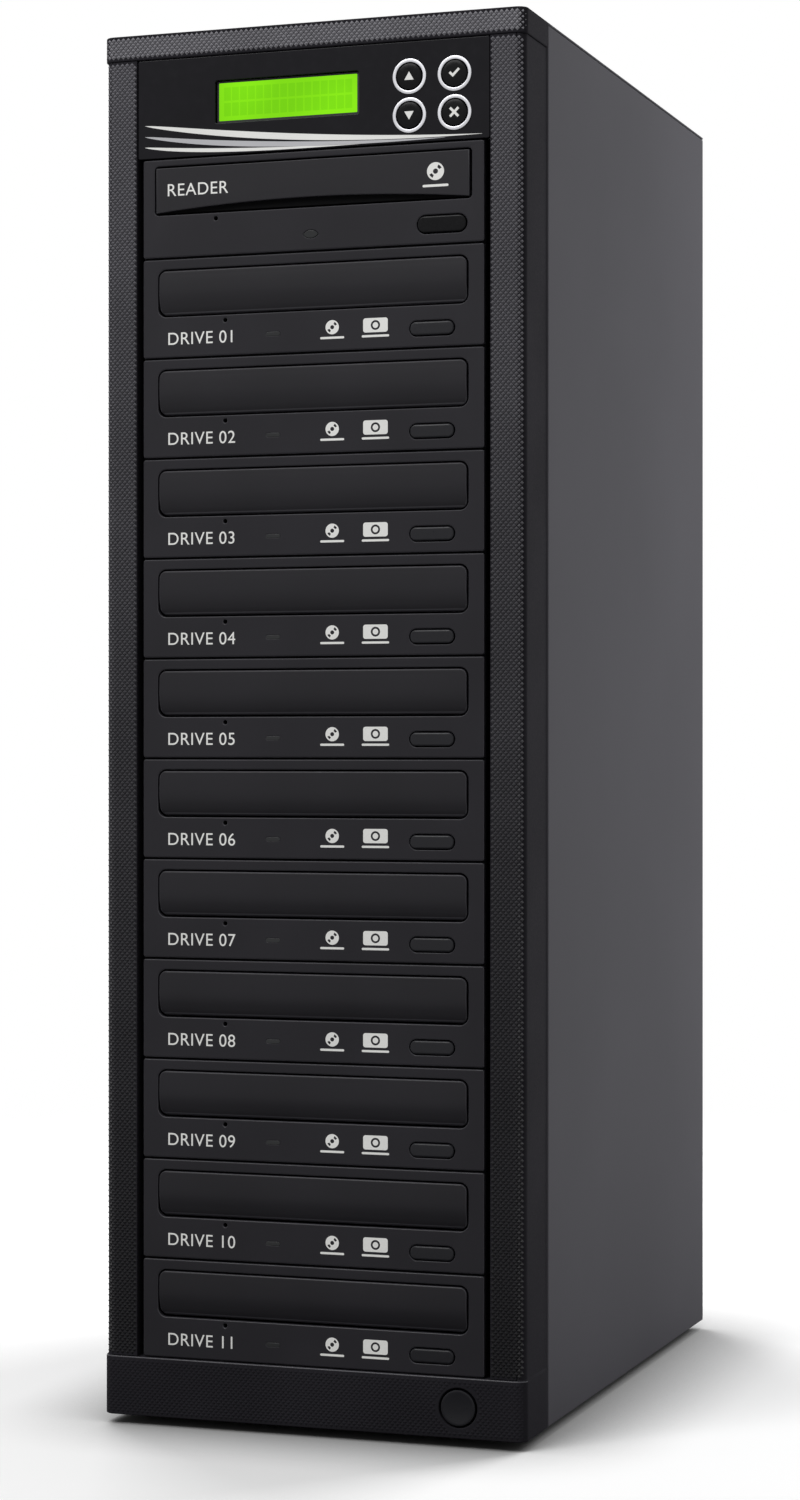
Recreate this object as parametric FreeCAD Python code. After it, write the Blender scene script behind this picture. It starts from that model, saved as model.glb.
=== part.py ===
"""Disc duplicator tower: a controller, one reader and eleven burners in a steel cabinet.

Every length is in millimetres. X points right, Y points to the back and Z points up. The origin is
in the middle of the footprint, on the surface that the tower stands on. A "depth" is measured
backwards from the front plane, which is the face of the cap and of the base.
"""
import FreeCAD
import Part
import math
import os

# Driving dimensions: bays, counted from the top
BURNERS = 11
BAY_PITCH = 41.5
BAY_SEAM = 0.5
FACE_WIDTH = 149.0
FACE_CHANNEL = 2.5
FACE_SETBACK = 1.4

# Driving dimensions: moulded front
STILE_WIDTH = 15.0
STILE_SETBACK = 0.8
STILE_INSET = 0.6
CAP_HEIGHT = 10.5
BASE_HEIGHT = 24.5
BEZEL_DEPTH = 32.0
BEZEL_WALL = 2.4
CORNER_RADIUS = 4.5
STRIP_THICKNESS = 1.6
STRIP_MARGIN = 3.2
BOSS_SIZE = 7.0
BOSS_ROWS = 3

# Driving dimensions: steel cabinet
SHEET = 1.0
PANEL_GAP = 0.2
PANEL_FOLD = 4.0
PANEL_FLANGE = 12.0
FRAME_LIP = 14.0
CAGE_OVERHANG = 8.6
CAGE_SLOT_LENGTH = 12.0
CAGE_SLOT_HEIGHT = 4.0
CAGE_SLOT_RISE = 10.0
CAGE_SLOT_START = 26.0
FOOT_HEIGHT = 4.0
FOOT_DIAMETER = 18.0
FOOT_INSET = 20.0
VENT_ROWS = 7
VENT_PITCH = 10.0
VENT_HEIGHT = 4.0
VENT_LENGTH = 50.0
VENT_SPACING = 62.0
VENT_RISE = 300.0

# Driving dimensions: disc drives
DRIVE_WIDTH = 146.0
DRIVE_DEPTH = 165.0
DRIVE_SHELL = 0.8
DRIVE_MARGIN = 0.6
DRIVE_SIDE_GAP = 0.3
CHASSIS_WALL = 2.4
DRIVE_BEZEL_DEPTH = 8.0
DRIVE_BEZEL_WALL = 2.5
DOOR_PROUD = 0.6
DOOR_CROWN = 0.7
DOOR_THICKNESS = 5.0
DOOR_GAP = 0.4
BURNER_DOOR = {"width": 134.0, "height": 18.4, "drop": 5.0, "bevel": 2.2}
READER_DOOR = {"width": 136.5, "height": 18.6, "drop": 3.8, "bevel": 0.4}
READER_DOOR_ARCH = 3.4
READER_DOOR_PLATE = 2.4
TRAY_RIM = 4.1
TRAY_REAR_GAP = 8.2
TRAY_THICKNESS = 5.5
TRAY_RISE = 1.6
TRAY_LEDGE = 4.5
TRAY_SIDE_GAP = 0.3
DISC_RECESS = 120.8
DISC_RECESS_DEPTH = 2.0
DISC_LAND = 30.0
DISC_MARGIN = 7.0
LENS_SLOT_WIDTH = 36.0
LENS_SLOT_LENGTH = 72.0
EJECT_PROUD = 0.5
EJECT_DEPTH = 6.0
EJECT_BEVEL = 1.9
EJECT_GAP = 0.3
LENS_GAP = 0.1
LENS_LENGTH = 4.0
BURNER_EJECT = {"width": 18.6, "height": 5.5, "x": 52.3, "drop": 33.4}
READER_EJECT = {"width": 20.6, "height": 6.8, "x": 56.5, "drop": 33.0}
BURNER_LAMP = {"width": 6.0, "height": 1.4, "x": -16.5, "drop": 32.9}
READER_LAMP = {"width": 6.6, "height": 3.4, "x": 0.0, "drop": 34.3}
BURNER_PINHOLE = {"size": 1.8, "x": -37.7, "drop": 26.3}
READER_PINHOLE = {"size": 1.8, "x": -41.9, "drop": 25.6}

# Driving dimensions: controller
FASCIA_THICKNESS = 3.0
FASCIA_GAP = 0.3
LCD_WINDOW = {"width": 63.0, "height": 17.6, "x": -10.6, "drop": 19.1}
LCD_BORDER = 4.0
LCD_GLASS_GAP = 0.3
LCD_GLASS_SETBACK = 1.6
KEY_DIAMETER = 10.8
KEY_GAP = 0.3
KEY_PROUD = 0.9
KEY_STEM = 5.0
KEY_MIDDLE = 52.4
KEY_MIDDLE_DROP = 22.15
KEY_SPACE = 4.8
KEY_SPACE_UP = 1.3
KEY_TRAVEL = 0.9
RING_WIDTH = 1.5
RING_PROUD = 0.6
BOARD_SETBACK = 9.0
BOARD_THICKNESS = 1.6
BOARD_MARGIN = 3.0
TACT_SIZE = 6.0
TACT_HEIGHT = 1.5
POST_SIZE = 5.0
SLED_REAR_GAP = 1.0
SLED_FLANGE = 14.0
SLED_RISE = 1.0
STANDOFF_HEIGHT = 5.0
MAIN_BOARD_WIDTH = 132.0
MAIN_BOARD_LENGTH = 120.0
PORT_COUNT = 12
PORT_PITCH = 9.4

# Driving dimensions: power button
POWER_HOLE = 16.2
POWER_GAP = 0.5
POWER_X = 63.6
POWER_SETBACK = 0.25
POWER_DEPTH = 9.0
POWER_STEM = 6.0
POWER_TRAVEL = 2.5
POWER_BUSH_WALL = 1.4
POWER_SWITCH_SIZE = 14.0
POWER_SWITCH_LENGTH = 17.0

# Driving dimensions: power supply and fans
WIRING_SPACE = 22.6
PSU_WIDTH = 125.0
PSU_HEIGHT = 63.5
PSU_DEPTH = 100.0
PSU_SIDE_GAP = 4.0
PSU_RIM = 3.0
INLET_WIDTH = 24.6
INLET_HEIGHT = 16.8
INLET_CHAMFER = 4.5
INLET_DEPTH = 16.0
INLET_WALL = 3.0
INLET_FLANGE = 2.0
INLET_SHIFT = 38.5
PIN_WIDTH = 2.0
PIN_HEIGHT = 4.0
PIN_LENGTH = 10.0
PIN_SPACING = 7.0
ROCKER_WIDTH = 13.0
ROCKER_HEIGHT = 17.6
ROCKER_TILT = 9.0
ROCKER_RECESS_DEPTH = 9.0
ROCKER_PIVOT_DEPTH = 4.5
ROCKER_PIVOT_PIN = 2.4
ROCKER_GAP = 0.4
ROCKER_DISH = 1.0
ROCKER_KEEL = 0.5
RUNNING_FIT = 0.05
FAN_PIN = 4.0
FAN_SPIDER = 3.0
FAN_STRUT = 4.0
ROTOR_GAP = 0.7
ROTOR_SETBACK = 1.0
FAN_BLADES = 7
BLADE_THICKNESS = 1.6
BLADE_PITCH = 40.0
BLADE_CLEARANCE = 1.0
CASE_FAN = {"size": 80.0, "thickness": 25.0, "wall": 2.0, "hub": 34.0, "screw_inset": 4.25, "guard_rings": 3}
PSU_FAN = {"size": 60.0, "thickness": 15.0, "wall": 1.5, "hub": 27.0, "screw_inset": 5.0, "guard_rings": 2}
CASE_FAN_RISE = 470.0
PSU_FAN_SHIFT = -22.0
GUARD_WIRE = 1.5
GUARD_EAR = 7.0

# Driving dimensions: wiring
DATA_LOOM = {"trunk": (16.0, 10.0), "branch": (8.0, 2.0), "x": -45.0, "plug": (14.0, 6.0)}
POWER_LOOM = {"trunk": (18.0, 8.0), "branch": (14.0, 3.0), "x": -15.0, "plug": (22.0, 7.0)}
PLUG_LENGTH = 7.0
PLUG_RISE = 9.0
FEED_DROP = 16.0

# Depths that follow from the driving dimensions
DRIVE_FRONT = FACE_SETBACK + DRIVE_BEZEL_DEPTH
DRIVE_REAR = DRIVE_FRONT + DRIVE_DEPTH
SLED_REAR = DRIVE_REAR - SLED_REAR_GAP
FRAME_REAR = BEZEL_DEPTH + SHEET
PSU_FRONT = DRIVE_REAR + WIRING_SPACE
REAR_INSIDE = PSU_FRONT + PSU_DEPTH
REAR_OUTSIDE = REAR_INSIDE + SHEET
TOTAL_DEPTH = REAR_OUTSIDE + 2 * GUARD_WIRE
FRONT_Y = -TOTAL_DEPTH / 2
DOOR_FRONT = FACE_SETBACK - DOOR_PROUD
DOOR_BACK = DOOR_FRONT + DOOR_THICKNESS
FASCIA_BACK = FACE_SETBACK + FASCIA_THICKNESS
KEY_BOARD_FRONT = FASCIA_BACK + BOARD_SETBACK

# Widths that follow from the driving dimensions, as distances from the middle plane
OPENING_HALF = FACE_WIDTH / 2 + FACE_CHANNEL
TOWER_HALF = OPENING_HALF + STILE_WIDTH
PANEL_INNER = TOWER_HALF - SHEET
LINER_OUTER = PANEL_INNER - PANEL_GAP
FRAME_HALF = PANEL_INNER - PANEL_FOLD - PANEL_GAP
DRIVE_HALF = DRIVE_WIDTH / 2
TRAY_WIDTH = DISC_RECESS + 2 * TRAY_RIM
CAGE_INNER = DRIVE_HALF + DRIVE_SIDE_GAP
PSU_RIGHT = LINER_OUTER - PSU_SIDE_GAP
PSU_MIDDLE = PSU_RIGHT - PSU_WIDTH / 2

# Heights that follow from the driving dimensions
BAYS = BURNERS + 2
BASE_TOP = FOOT_HEIGHT + BASE_HEIGHT
CAP_BOTTOM = BASE_TOP + BAYS * BAY_PITCH
TOP = CAP_BOTTOM + CAP_HEIGHT
FLOOR_TOP = FOOT_HEIGHT + SHEET
COVER_BOTTOM = TOP - SHEET
POWER_Z = FOOT_HEIGHT + BASE_HEIGHT / 2
PSU_Z = FLOOR_TOP + PSU_HEIGHT / 2

BACK = FreeCAD.Vector(0, 1, 0)
RIGHT = FreeCAD.Vector(1, 0, 0)
UP = FreeCAD.Vector(0, 0, 1)
TINY = 1e-6
OVERCUT = 1.0


def point(x, depth, z):
    """Point at a depth behind the front plane."""
    return FreeCAD.Vector(x, FRONT_Y + depth, z)


def block(x, depth, z):
    """Block between pairs of x, depth and z values."""
    return Part.makeBox(x[1] - x[0], depth[1] - depth[0], z[1] - z[0], point(x[0], depth[0], z[0]))


def rod(diameter, depth, x, z):
    """Round bar that runs backwards between two depths."""
    return Part.makeCylinder(diameter / 2, depth[1] - depth[0], point(x, depth[0], z), BACK)


def disc(diameter, x, depth, z):
    """Upright cylinder between two heights."""
    return Part.makeCylinder(diameter / 2, z[1] - z[0], point(x, depth, z[0]), UP)


def round_corner(before, corner, after):
    """Start, middle and end of the arc that rounds one corner of an outline."""
    here = FreeCAD.Vector(corner[0], corner[1], 0)
    radius = corner[2] if len(corner) > 2 else 0
    incoming = (FreeCAD.Vector(before[0], before[1], 0) - here).normalize()
    outgoing = (FreeCAD.Vector(after[0], after[1], 0) - here).normalize()
    half_angle = incoming.getAngle(outgoing) / 2
    reach = radius / math.tan(half_angle)
    rise = radius / math.sin(half_angle) - radius
    bisector = (incoming + outgoing).normalize()
    return here + incoming * reach, here + bisector * rise, here + outgoing * reach


def outline(corners, place):
    """Flat face from corners (u, v) or (u, v, radius), set in space by place(u, v)."""
    count = len(corners)
    bends = [round_corner(corners[i - 1], corners[i], corners[(i + 1) % count]) for i in range(count)]
    edges = []
    for i, (start, middle, end) in enumerate(bends):
        following = bends[(i + 1) % count][0]
        if (end - start).Length > TINY:
            arc = Part.Arc(place(start.x, start.y), place(middle.x, middle.y), place(end.x, end.y))
            edges.append(arc.toShape())
        if (following - end).Length > TINY:
            side = Part.LineSegment(place(end.x, end.y), place(following.x, following.y))
            edges.append(side.toShape())
    return Part.Face(Part.Wire(edges))


def plan_prism(corners, z):
    """Outline of (x, depth) corners raised between two heights."""
    return outline(corners, lambda x, depth: point(x, depth, z[0])).extrude(UP * (z[1] - z[0]))


def front_prism(corners, depth):
    """Outline of (x, z) corners pushed backwards between two depths."""
    return outline(corners, lambda x, z: point(x, depth[0], z)).extrude(BACK * (depth[1] - depth[0]))


def side_prism(corners, x):
    """Outline of (depth, z) corners drawn out sideways between two x values."""
    return outline(corners, lambda depth, z: point(x[0], depth, z)).extrude(RIGHT * (x[1] - x[0]))


def bevelled(width, height, bevel, x, z, depth):
    """Rectangle with bevelled corners, standing across the depth and centred on x and z."""
    a, b = width / 2, height / 2
    quarter = [(a, bevel - b), (a, b - bevel), (a - bevel, b), (bevel - a, b)]
    corners = [(x + u, z + v) for u, v in quarter] + [(x - u, z - v) for u, v in quarter]
    return front_prism(corners, depth)


def grown(bevel, gap):
    """Bevel of a bevelled outline after it has grown by a gap on every side."""
    return bevel + gap * (2 - math.sqrt(2))


def bar(size, depth, x, z):
    """Bar of (width, height) that runs backwards between two depths, centred on x and z."""
    width, height = size
    return block((x - width / 2, x + width / 2), depth, (z - height / 2, z + height / 2))


def mirrored(shape):
    """Twin of a shape on the other side of the middle plane."""
    return shape.mirror(FreeCAD.Vector(0, 0, 0), RIGHT)


def bay_bottom(bay):
    """Height of the lower edge of a bay; bay 0 is the topmost."""
    return BASE_TOP + (BAYS - 1 - bay) * BAY_PITCH


def face_range(bay):
    """Lower and upper edge of the front that fills a bay."""
    return bay_bottom(bay) + BAY_SEAM / 2, bay_bottom(bay) + BAY_PITCH - BAY_SEAM / 2


def below_top(bay, drop):
    """Height of a feature that is measured down from the top edge of a bay's front."""
    return face_range(bay)[1] - drop


def bezel_plan(half, front, rear, radius):
    """Plan of the moulded front: straight sides with rounded front corners."""
    return [(-half, rear), (-half, front, radius), (half, front, radius), (half, rear)]


def stile_cavity_middle():
    """Middle of the hollow behind each stile."""
    return (OPENING_HALF + TOWER_HALF - STILE_INSET) / 2


def front_bezel():
    """Moulded frame: base, two stiles, a rail under the cap and screw bosses behind the stiles."""
    wall = BEZEL_WALL
    stile_half = TOWER_HALF - STILE_INSET
    seat = STILE_SETBACK + STRIP_THICKNESS + PANEL_GAP
    base = plan_prism(bezel_plan(TOWER_HALF, 0, BEZEL_DEPTH, CORNER_RADIUS), (FOOT_HEIGHT, BASE_TOP))
    stiles = plan_prism(
        bezel_plan(stile_half, STILE_SETBACK, BEZEL_DEPTH, CORNER_RADIUS), (BASE_TOP, CAP_BOTTOM))
    opening = block(
        (-OPENING_HALF, OPENING_HALF), (-OVERCUT, BEZEL_DEPTH + OVERCUT), (BASE_TOP, CAP_BOTTOM))
    rail_half = TOWER_HALF - wall - FASCIA_GAP
    rail_top = TOP - wall - FASCIA_GAP
    rail = block((-rail_half, rail_half), (CORNER_RADIUS + FASCIA_GAP, BEZEL_DEPTH), (CAP_BOTTOM, rail_top))
    base_cavity = block(
        (wall - TOWER_HALF, TOWER_HALF - wall), (wall, BEZEL_DEPTH), (FOOT_HEIGHT + wall, BASE_TOP - wall))
    rail_cavity = block(
        (wall - rail_half, rail_half - wall), (CORNER_RADIUS + wall, BEZEL_DEPTH),
        (CAP_BOTTOM + wall, rail_top - wall))
    right_seat = block(
        (OPENING_HALF, TOWER_HALF - STRIP_MARGIN - STILE_INSET), (0, seat), (BASE_TOP, CAP_BOTTOM))
    right_cavity = block(
        (OPENING_HALF + wall, stile_half - wall), (seat + wall, BEZEL_DEPTH), (BASE_TOP, CAP_BOTTOM - wall))
    bosses = []
    for row in range(BOSS_ROWS):
        z = BASE_TOP + (row + 0.5) * (CAP_BOTTOM - BASE_TOP) / BOSS_ROWS
        boss = bar((BOSS_SIZE, BOSS_SIZE), (seat + wall, BEZEL_DEPTH), stile_cavity_middle(), z)
        bosses += [boss, mirrored(boss)]
    bush = rod(POWER_HOLE + 2 * POWER_BUSH_WALL, (wall / 2, POWER_DEPTH + wall), POWER_X, POWER_Z)
    frame = base.fuse([stiles.cut(opening), rail])
    frame = frame.cut(
        [base_cavity, rail_cavity, right_seat, mirrored(right_seat), right_cavity, mirrored(right_cavity)])
    frame = frame.fuse(bosses + [bush])
    frame = frame.cut(rod(POWER_HOLE, (-OVERCUT, BEZEL_DEPTH), POWER_X, POWER_Z))
    return [frame.removeSplitter()]


def top_cap():
    """Cover over the upper rail of the moulded front."""
    wall = BEZEL_WALL
    outside = plan_prism(bezel_plan(TOWER_HALF, 0, BEZEL_DEPTH, CORNER_RADIUS), (CAP_BOTTOM, TOP))
    inside = plan_prism(
        bezel_plan(TOWER_HALF - wall, wall, BEZEL_DEPTH + OVERCUT, CORNER_RADIUS - wall),
        (CAP_BOTTOM - OVERCUT, TOP - wall))
    return [outside.cut(inside)]


def side_strips():
    """Textured trim strips set into the two stiles."""
    gap = PANEL_GAP
    strip = block(
        (OPENING_HALF, TOWER_HALF - STRIP_MARGIN - STILE_INSET - gap),
        (STILE_SETBACK + gap, STILE_SETBACK + gap + STRIP_THICKNESS),
        (BASE_TOP + gap, CAP_BOTTOM - gap))
    return [mirrored(strip), strip]


def base_pan():
    """Folded floor of the cabinet."""
    start = FRAME_REAR + PANEL_GAP + SHEET
    edge = LINER_OUTER
    flange_top = FLOOR_TOP + PANEL_FLANGE
    profile = [
        (-edge, FOOT_HEIGHT, SHEET), (edge, FOOT_HEIGHT, SHEET), (edge, flange_top),
        (edge - SHEET, flange_top), (edge - SHEET, FLOOR_TOP), (SHEET - edge, FLOOR_TOP),
        (SHEET - edge, flange_top), (-edge, flange_top)]
    tongue = block((SHEET - edge, edge - SHEET), (REAR_INSIDE, REAR_OUTSIDE), (FOOT_HEIGHT, FLOOR_TOP))
    return [front_prism(profile, (start, REAR_INSIDE)).fuse(tongue).removeSplitter()]


def top_cover():
    """Lid of the cabinet, with a lip folded down inside each side panel."""
    edge = LINER_OUTER
    lip = COVER_BOTTOM - PANEL_FLANGE
    depth = (BEZEL_DEPTH + PANEL_GAP, REAR_OUTSIDE + SHEET)
    lid = block((-TOWER_HALF, TOWER_HALF), depth, (COVER_BOTTOM, TOP))
    right_lip = block(
        (edge - SHEET, edge), (FRAME_REAR + PANEL_FOLD, REAR_INSIDE - SHEET), (lip, COVER_BOTTOM))
    return [lid.fuse([right_lip, mirrored(right_lip)]).removeSplitter()]


def side_panel():
    """Right-hand panel: folded in at the front, and round the rear panel's edge at the back."""
    front = BEZEL_DEPTH + PANEL_GAP
    rear = REAR_OUTSIDE + SHEET
    inner = PANEL_INNER
    plan = [
        (TOWER_HALF, front, SHEET), (TOWER_HALF, rear, SHEET), (TOWER_HALF - PANEL_FLANGE, rear),
        (TOWER_HALF - PANEL_FLANGE, rear - SHEET), (inner, rear - SHEET), (inner, front + SHEET),
        (inner - PANEL_FOLD, front + SHEET), (inner - PANEL_FOLD, front)]
    return plan_prism(plan, (FOOT_HEIGHT + PANEL_GAP, COVER_BOTTOM - PANEL_GAP))


def front_frame():
    """Steel frame behind the moulded front, standing on the floor by a folded lip."""
    half = FRAME_HALF
    opening_half = CAGE_INNER + SHEET
    through = (BEZEL_DEPTH - OVERCUT, FRAME_REAR + OVERCUT)
    sheet = block((-half, half), (BEZEL_DEPTH, FRAME_REAR), (FLOOR_TOP, COVER_BOTTOM - SHEET))
    opening = block((-opening_half, opening_half), through, (BASE_TOP, CAP_BOTTOM))
    lip = block((-half, half), (FRAME_REAR, FRAME_REAR + FRAME_LIP), (FLOOR_TOP, FLOOR_TOP + SHEET))
    return [sheet.cut(opening).fuse(lip).removeSplitter()]


def cage_walls():
    """Walls that the drives are screwed to, each with a flange on the front frame."""
    front, rear = FRAME_REAR, DRIVE_REAR + CAGE_OVERHANG
    outer = CAGE_INNER + SHEET
    bottom, top = FLOOR_TOP + SHEET, CAP_BOTTOM
    plan = [
        (CAGE_INNER, front), (outer + PANEL_FLANGE / 2, front), (outer + PANEL_FLANGE / 2, front + SHEET),
        (outer, front + SHEET), (outer, rear), (CAGE_INNER, rear)]
    slots = []
    for bay in range(BAYS):
        low = bay_bottom(bay) + CAGE_SLOT_RISE
        start = front + CAGE_SLOT_START
        slots.append(block(
            (CAGE_INNER - OVERCUT, outer + OVERCUT), (start, start + CAGE_SLOT_LENGTH),
            (low, low + CAGE_SLOT_HEIGHT)))
    wall = plan_prism(plan, (bottom, top)).cut(slots)
    return [mirrored(wall), wall]


def rear_panel():
    """Back of the cabinet, open at the power supply and the fan, with rows of vent slots between."""
    edge = LINER_OUTER
    depth = (REAR_INSIDE, REAR_OUTSIDE)
    through = (REAR_INSIDE - OVERCUT, REAR_OUTSIDE + OVERCUT)
    sheet = block((-edge, edge), depth, (FLOOR_TOP, COVER_BOTTOM))
    flange_inner = edge - 2 * SHEET - PANEL_GAP
    right_flange = block(
        (flange_inner, flange_inner + SHEET), (REAR_INSIDE - PANEL_FLANGE, REAR_INSIDE),
        (FLOOR_TOP + 2 * PANEL_FLANGE, COVER_BOTTOM - 2 * PANEL_FLANGE))
    openings = [
        bar((PSU_WIDTH - 2 * PSU_RIM, PSU_HEIGHT - 2 * PSU_RIM), through, PSU_MIDDLE, PSU_Z),
        rod(fan_bore(CASE_FAN), through, 0, CASE_FAN_RISE)]
    for row in range(VENT_ROWS):
        z = VENT_RISE + (row - (VENT_ROWS - 1) / 2) * VENT_PITCH
        for side in (-1, 1):
            openings.append(bar((VENT_LENGTH, VENT_HEIGHT), through, side * VENT_SPACING / 2, z))
    panel = sheet.fuse([right_flange, mirrored(right_flange)])
    return [panel.cut(openings).removeSplitter()]


def feet():
    """Four round rubber feet."""
    depths = (FRAME_REAR + FOOT_INSET, REAR_INSIDE - FOOT_INSET)
    x = TOWER_HALF - FOOT_INSET
    return [disc(FOOT_DIAMETER, side * x, depth, (0, FOOT_HEIGHT)) for side in (-1, 1) for depth in depths]


def drive_bezel(bay, door, eject, lamp, pinhole):
    """Moulded front of a drive: an open-backed shell cut for the tray, the button and the lamp."""
    low, high = face_range(bay)
    middle = (low + high) / 2
    wall = DRIVE_BEZEL_WALL
    through = (FACE_SETBACK - OVERCUT, DRIVE_FRONT)
    hollow_size = (FACE_WIDTH - 2 * wall, high - low - 2 * wall)
    shell = bar((FACE_WIDTH, high - low), (FACE_SETBACK, DRIVE_FRONT), 0, middle)
    hollow = bar(hollow_size, (FACE_SETBACK + wall, DRIVE_FRONT), 0, middle)
    tray_window = bevelled(
        door["width"] + 2 * DOOR_GAP, door["height"] + 2 * DOOR_GAP, grown(door["bevel"], DOOR_GAP), 0,
        below_top(bay, door["drop"] + door["height"] / 2), through)
    button_hole = bevelled(
        eject["width"] + 2 * EJECT_GAP, eject["height"] + 2 * EJECT_GAP, grown(EJECT_BEVEL, EJECT_GAP),
        eject["x"], below_top(bay, eject["drop"]), through)
    lamp_hole = bar((lamp["width"], lamp["height"]), through, lamp["x"], below_top(bay, lamp["drop"]))
    release_hole = bevelled(
        pinhole["size"], pinhole["size"], pinhole["size"] / grown(2, math.sqrt(2)), pinhole["x"],
        below_top(bay, pinhole["drop"]), through)
    return shell.cut([hollow, tray_window, button_hole, lamp_hole, release_hole])


def lamp_lens(bay, lamp):
    """Light pipe in the lamp hole of a drive's front."""
    size = (lamp["width"] - 2 * LENS_GAP, lamp["height"] - 2 * LENS_GAP)
    return bar(size, (FACE_SETBACK, FACE_SETBACK + LENS_LENGTH), lamp["x"], below_top(bay, lamp["drop"]))


def door_bottom(bay, door):
    """Height of a tray door's lower edge."""
    return below_top(bay, door["drop"] + door["height"])


def bowed_face(corners, crest):
    """Flat face round four corners whose last side bows through a crest."""
    sides = [Part.LineSegment(corners[i], corners[i + 1]).toShape() for i in range(3)]
    bow = Part.Arc(corners[3], crest, corners[0]).toShape()
    return Part.Face(Part.Wire(sides + [bow]))


def crowned_door(bay, door):
    """Burner door: bevelled corners and a face that is crowned from top to bottom."""
    low = door_bottom(bay, door)
    high = low + door["height"]
    half = door["width"] / 2
    edge = DOOR_FRONT + DOOR_CROWN
    middle = (low + high) / 2
    corners = [
        point(-half, edge, high), point(-half, DOOR_BACK, high), point(-half, DOOR_BACK, low),
        point(-half, edge, low)]
    crown = bowed_face(corners, point(-half, DOOR_FRONT, middle)).extrude(RIGHT * door["width"])
    body = bevelled(
        door["width"], door["height"], door["bevel"], 0, middle, (DOOR_FRONT, DOOR_BACK))
    return body.common(crown)


def arched_door(bay, door):
    """Reader door: a face plate whose lower edge arches up to leave a finger recess."""
    low = door_bottom(bay, door)
    high = low + door["height"]
    half = door["width"] / 2
    crest = point(0, DOOR_FRONT, low + READER_DOOR_ARCH)
    corners = [
        point(half, DOOR_FRONT, low), point(half, DOOR_FRONT, high), point(-half, DOOR_FRONT, high),
        point(-half, DOOR_FRONT, low)]
    face = bowed_face(corners, crest).extrude(BACK * READER_DOOR_PLATE)
    body = bar(
        (door["width"], door["height"]), (DOOR_FRONT + READER_DOOR_PLATE, DOOR_BACK), 0, (low + high) / 2)
    return body.fuse(face).removeSplitter()


def tray(bay, door, door_solid):
    """Loading tray: a slotted plate, four lands that centre the disc and the door at its front end."""
    bottom = door_bottom(bay, door) + TRAY_RISE
    top = bottom + TRAY_THICKNESS
    seat = top - DISC_RECESS_DEPTH
    half = TRAY_WIDTH / 2
    rear = DRIVE_REAR - CHASSIS_WALL - TRAY_REAR_GAP
    centre = DOOR_BACK + DISC_MARGIN + DISC_RECESS / 2
    sled = block((-half, half), (DOOR_BACK, rear), (bottom, seat))
    slot = block(
        (-LENS_SLOT_WIDTH / 2, LENS_SLOT_WIDTH / 2),
        (centre - LENS_SLOT_WIDTH / 2, centre - LENS_SLOT_WIDTH / 2 + LENS_SLOT_LENGTH),
        (bottom - OVERCUT, top))
    front_land = block((DISC_LAND, half), (DOOR_BACK, centre - DISC_LAND), (seat, top))
    rear_land = block((DISC_LAND, half), (centre + DISC_LAND, rear), (seat, top))
    lands = [front_land, rear_land, mirrored(front_land), mirrored(rear_land)]
    recess = disc(DISC_RECESS, 0, centre, (seat, top + OVERCUT))
    body = sled.cut(slot).fuse([land.cut(recess) for land in lands] + [door_solid])
    return [body.removeSplitter()]


def eject_button(bay, eject):
    """Eject button that slides in its hole in the drive's front."""
    front = FACE_SETBACK - EJECT_PROUD
    return [bevelled(
        eject["width"], eject["height"], EJECT_BEVEL, eject["x"], below_top(bay, eject["drop"]),
        (front, front + EJECT_DEPTH))]


def drive_cover(bay):
    """Steel cover of a drive, folded over its top and both sides."""
    low, high = face_range(bay)
    low, high = low + DRIVE_MARGIN, high - DRIVE_MARGIN
    half, inner = DRIVE_HALF, DRIVE_HALF - DRIVE_SHELL
    profile = [
        (-half, low), (-half, high), (half, high), (half, low), (inner, low),
        (inner, high - DRIVE_SHELL), (-inner, high - DRIVE_SHELL), (-inner, low)]
    return front_prism(profile, (DRIVE_FRONT, DRIVE_REAR))


def drive_chassis(bay, door):
    """Floor, tray runners and rear wall of a drive, in one moulding."""
    low = face_range(bay)[0] + DRIVE_MARGIN
    high = face_range(bay)[1] - DRIVE_MARGIN - DRIVE_SHELL - PANEL_GAP
    wall = CHASSIS_WALL
    outer = DRIVE_HALF - DRIVE_SHELL - PANEL_GAP
    inner = outer - wall
    floor = low + wall
    tray_low = door_bottom(bay, door) + TRAY_RISE
    ledge = tray_low - DOOR_GAP
    guide_top = tray_low + TRAY_THICKNESS
    guide = TRAY_WIDTH / 2 + TRAY_SIDE_GAP
    reach = TRAY_WIDTH / 2 - TRAY_LEDGE
    right_half = [
        (outer, low), (outer, guide_top), (guide, guide_top), (guide, ledge), (reach, ledge),
        (reach, ledge - wall), (inner, ledge - wall), (inner, floor)]
    left_half = [(-x, z) for x, z in reversed(right_half)]
    runners = front_prism(right_half + left_half, (DRIVE_FRONT, DRIVE_REAR - wall))
    rear_wall = block((-outer, outer), (DRIVE_REAR - wall, DRIVE_REAR), (low, high))
    return runners.fuse(rear_wall).removeSplitter()


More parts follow.
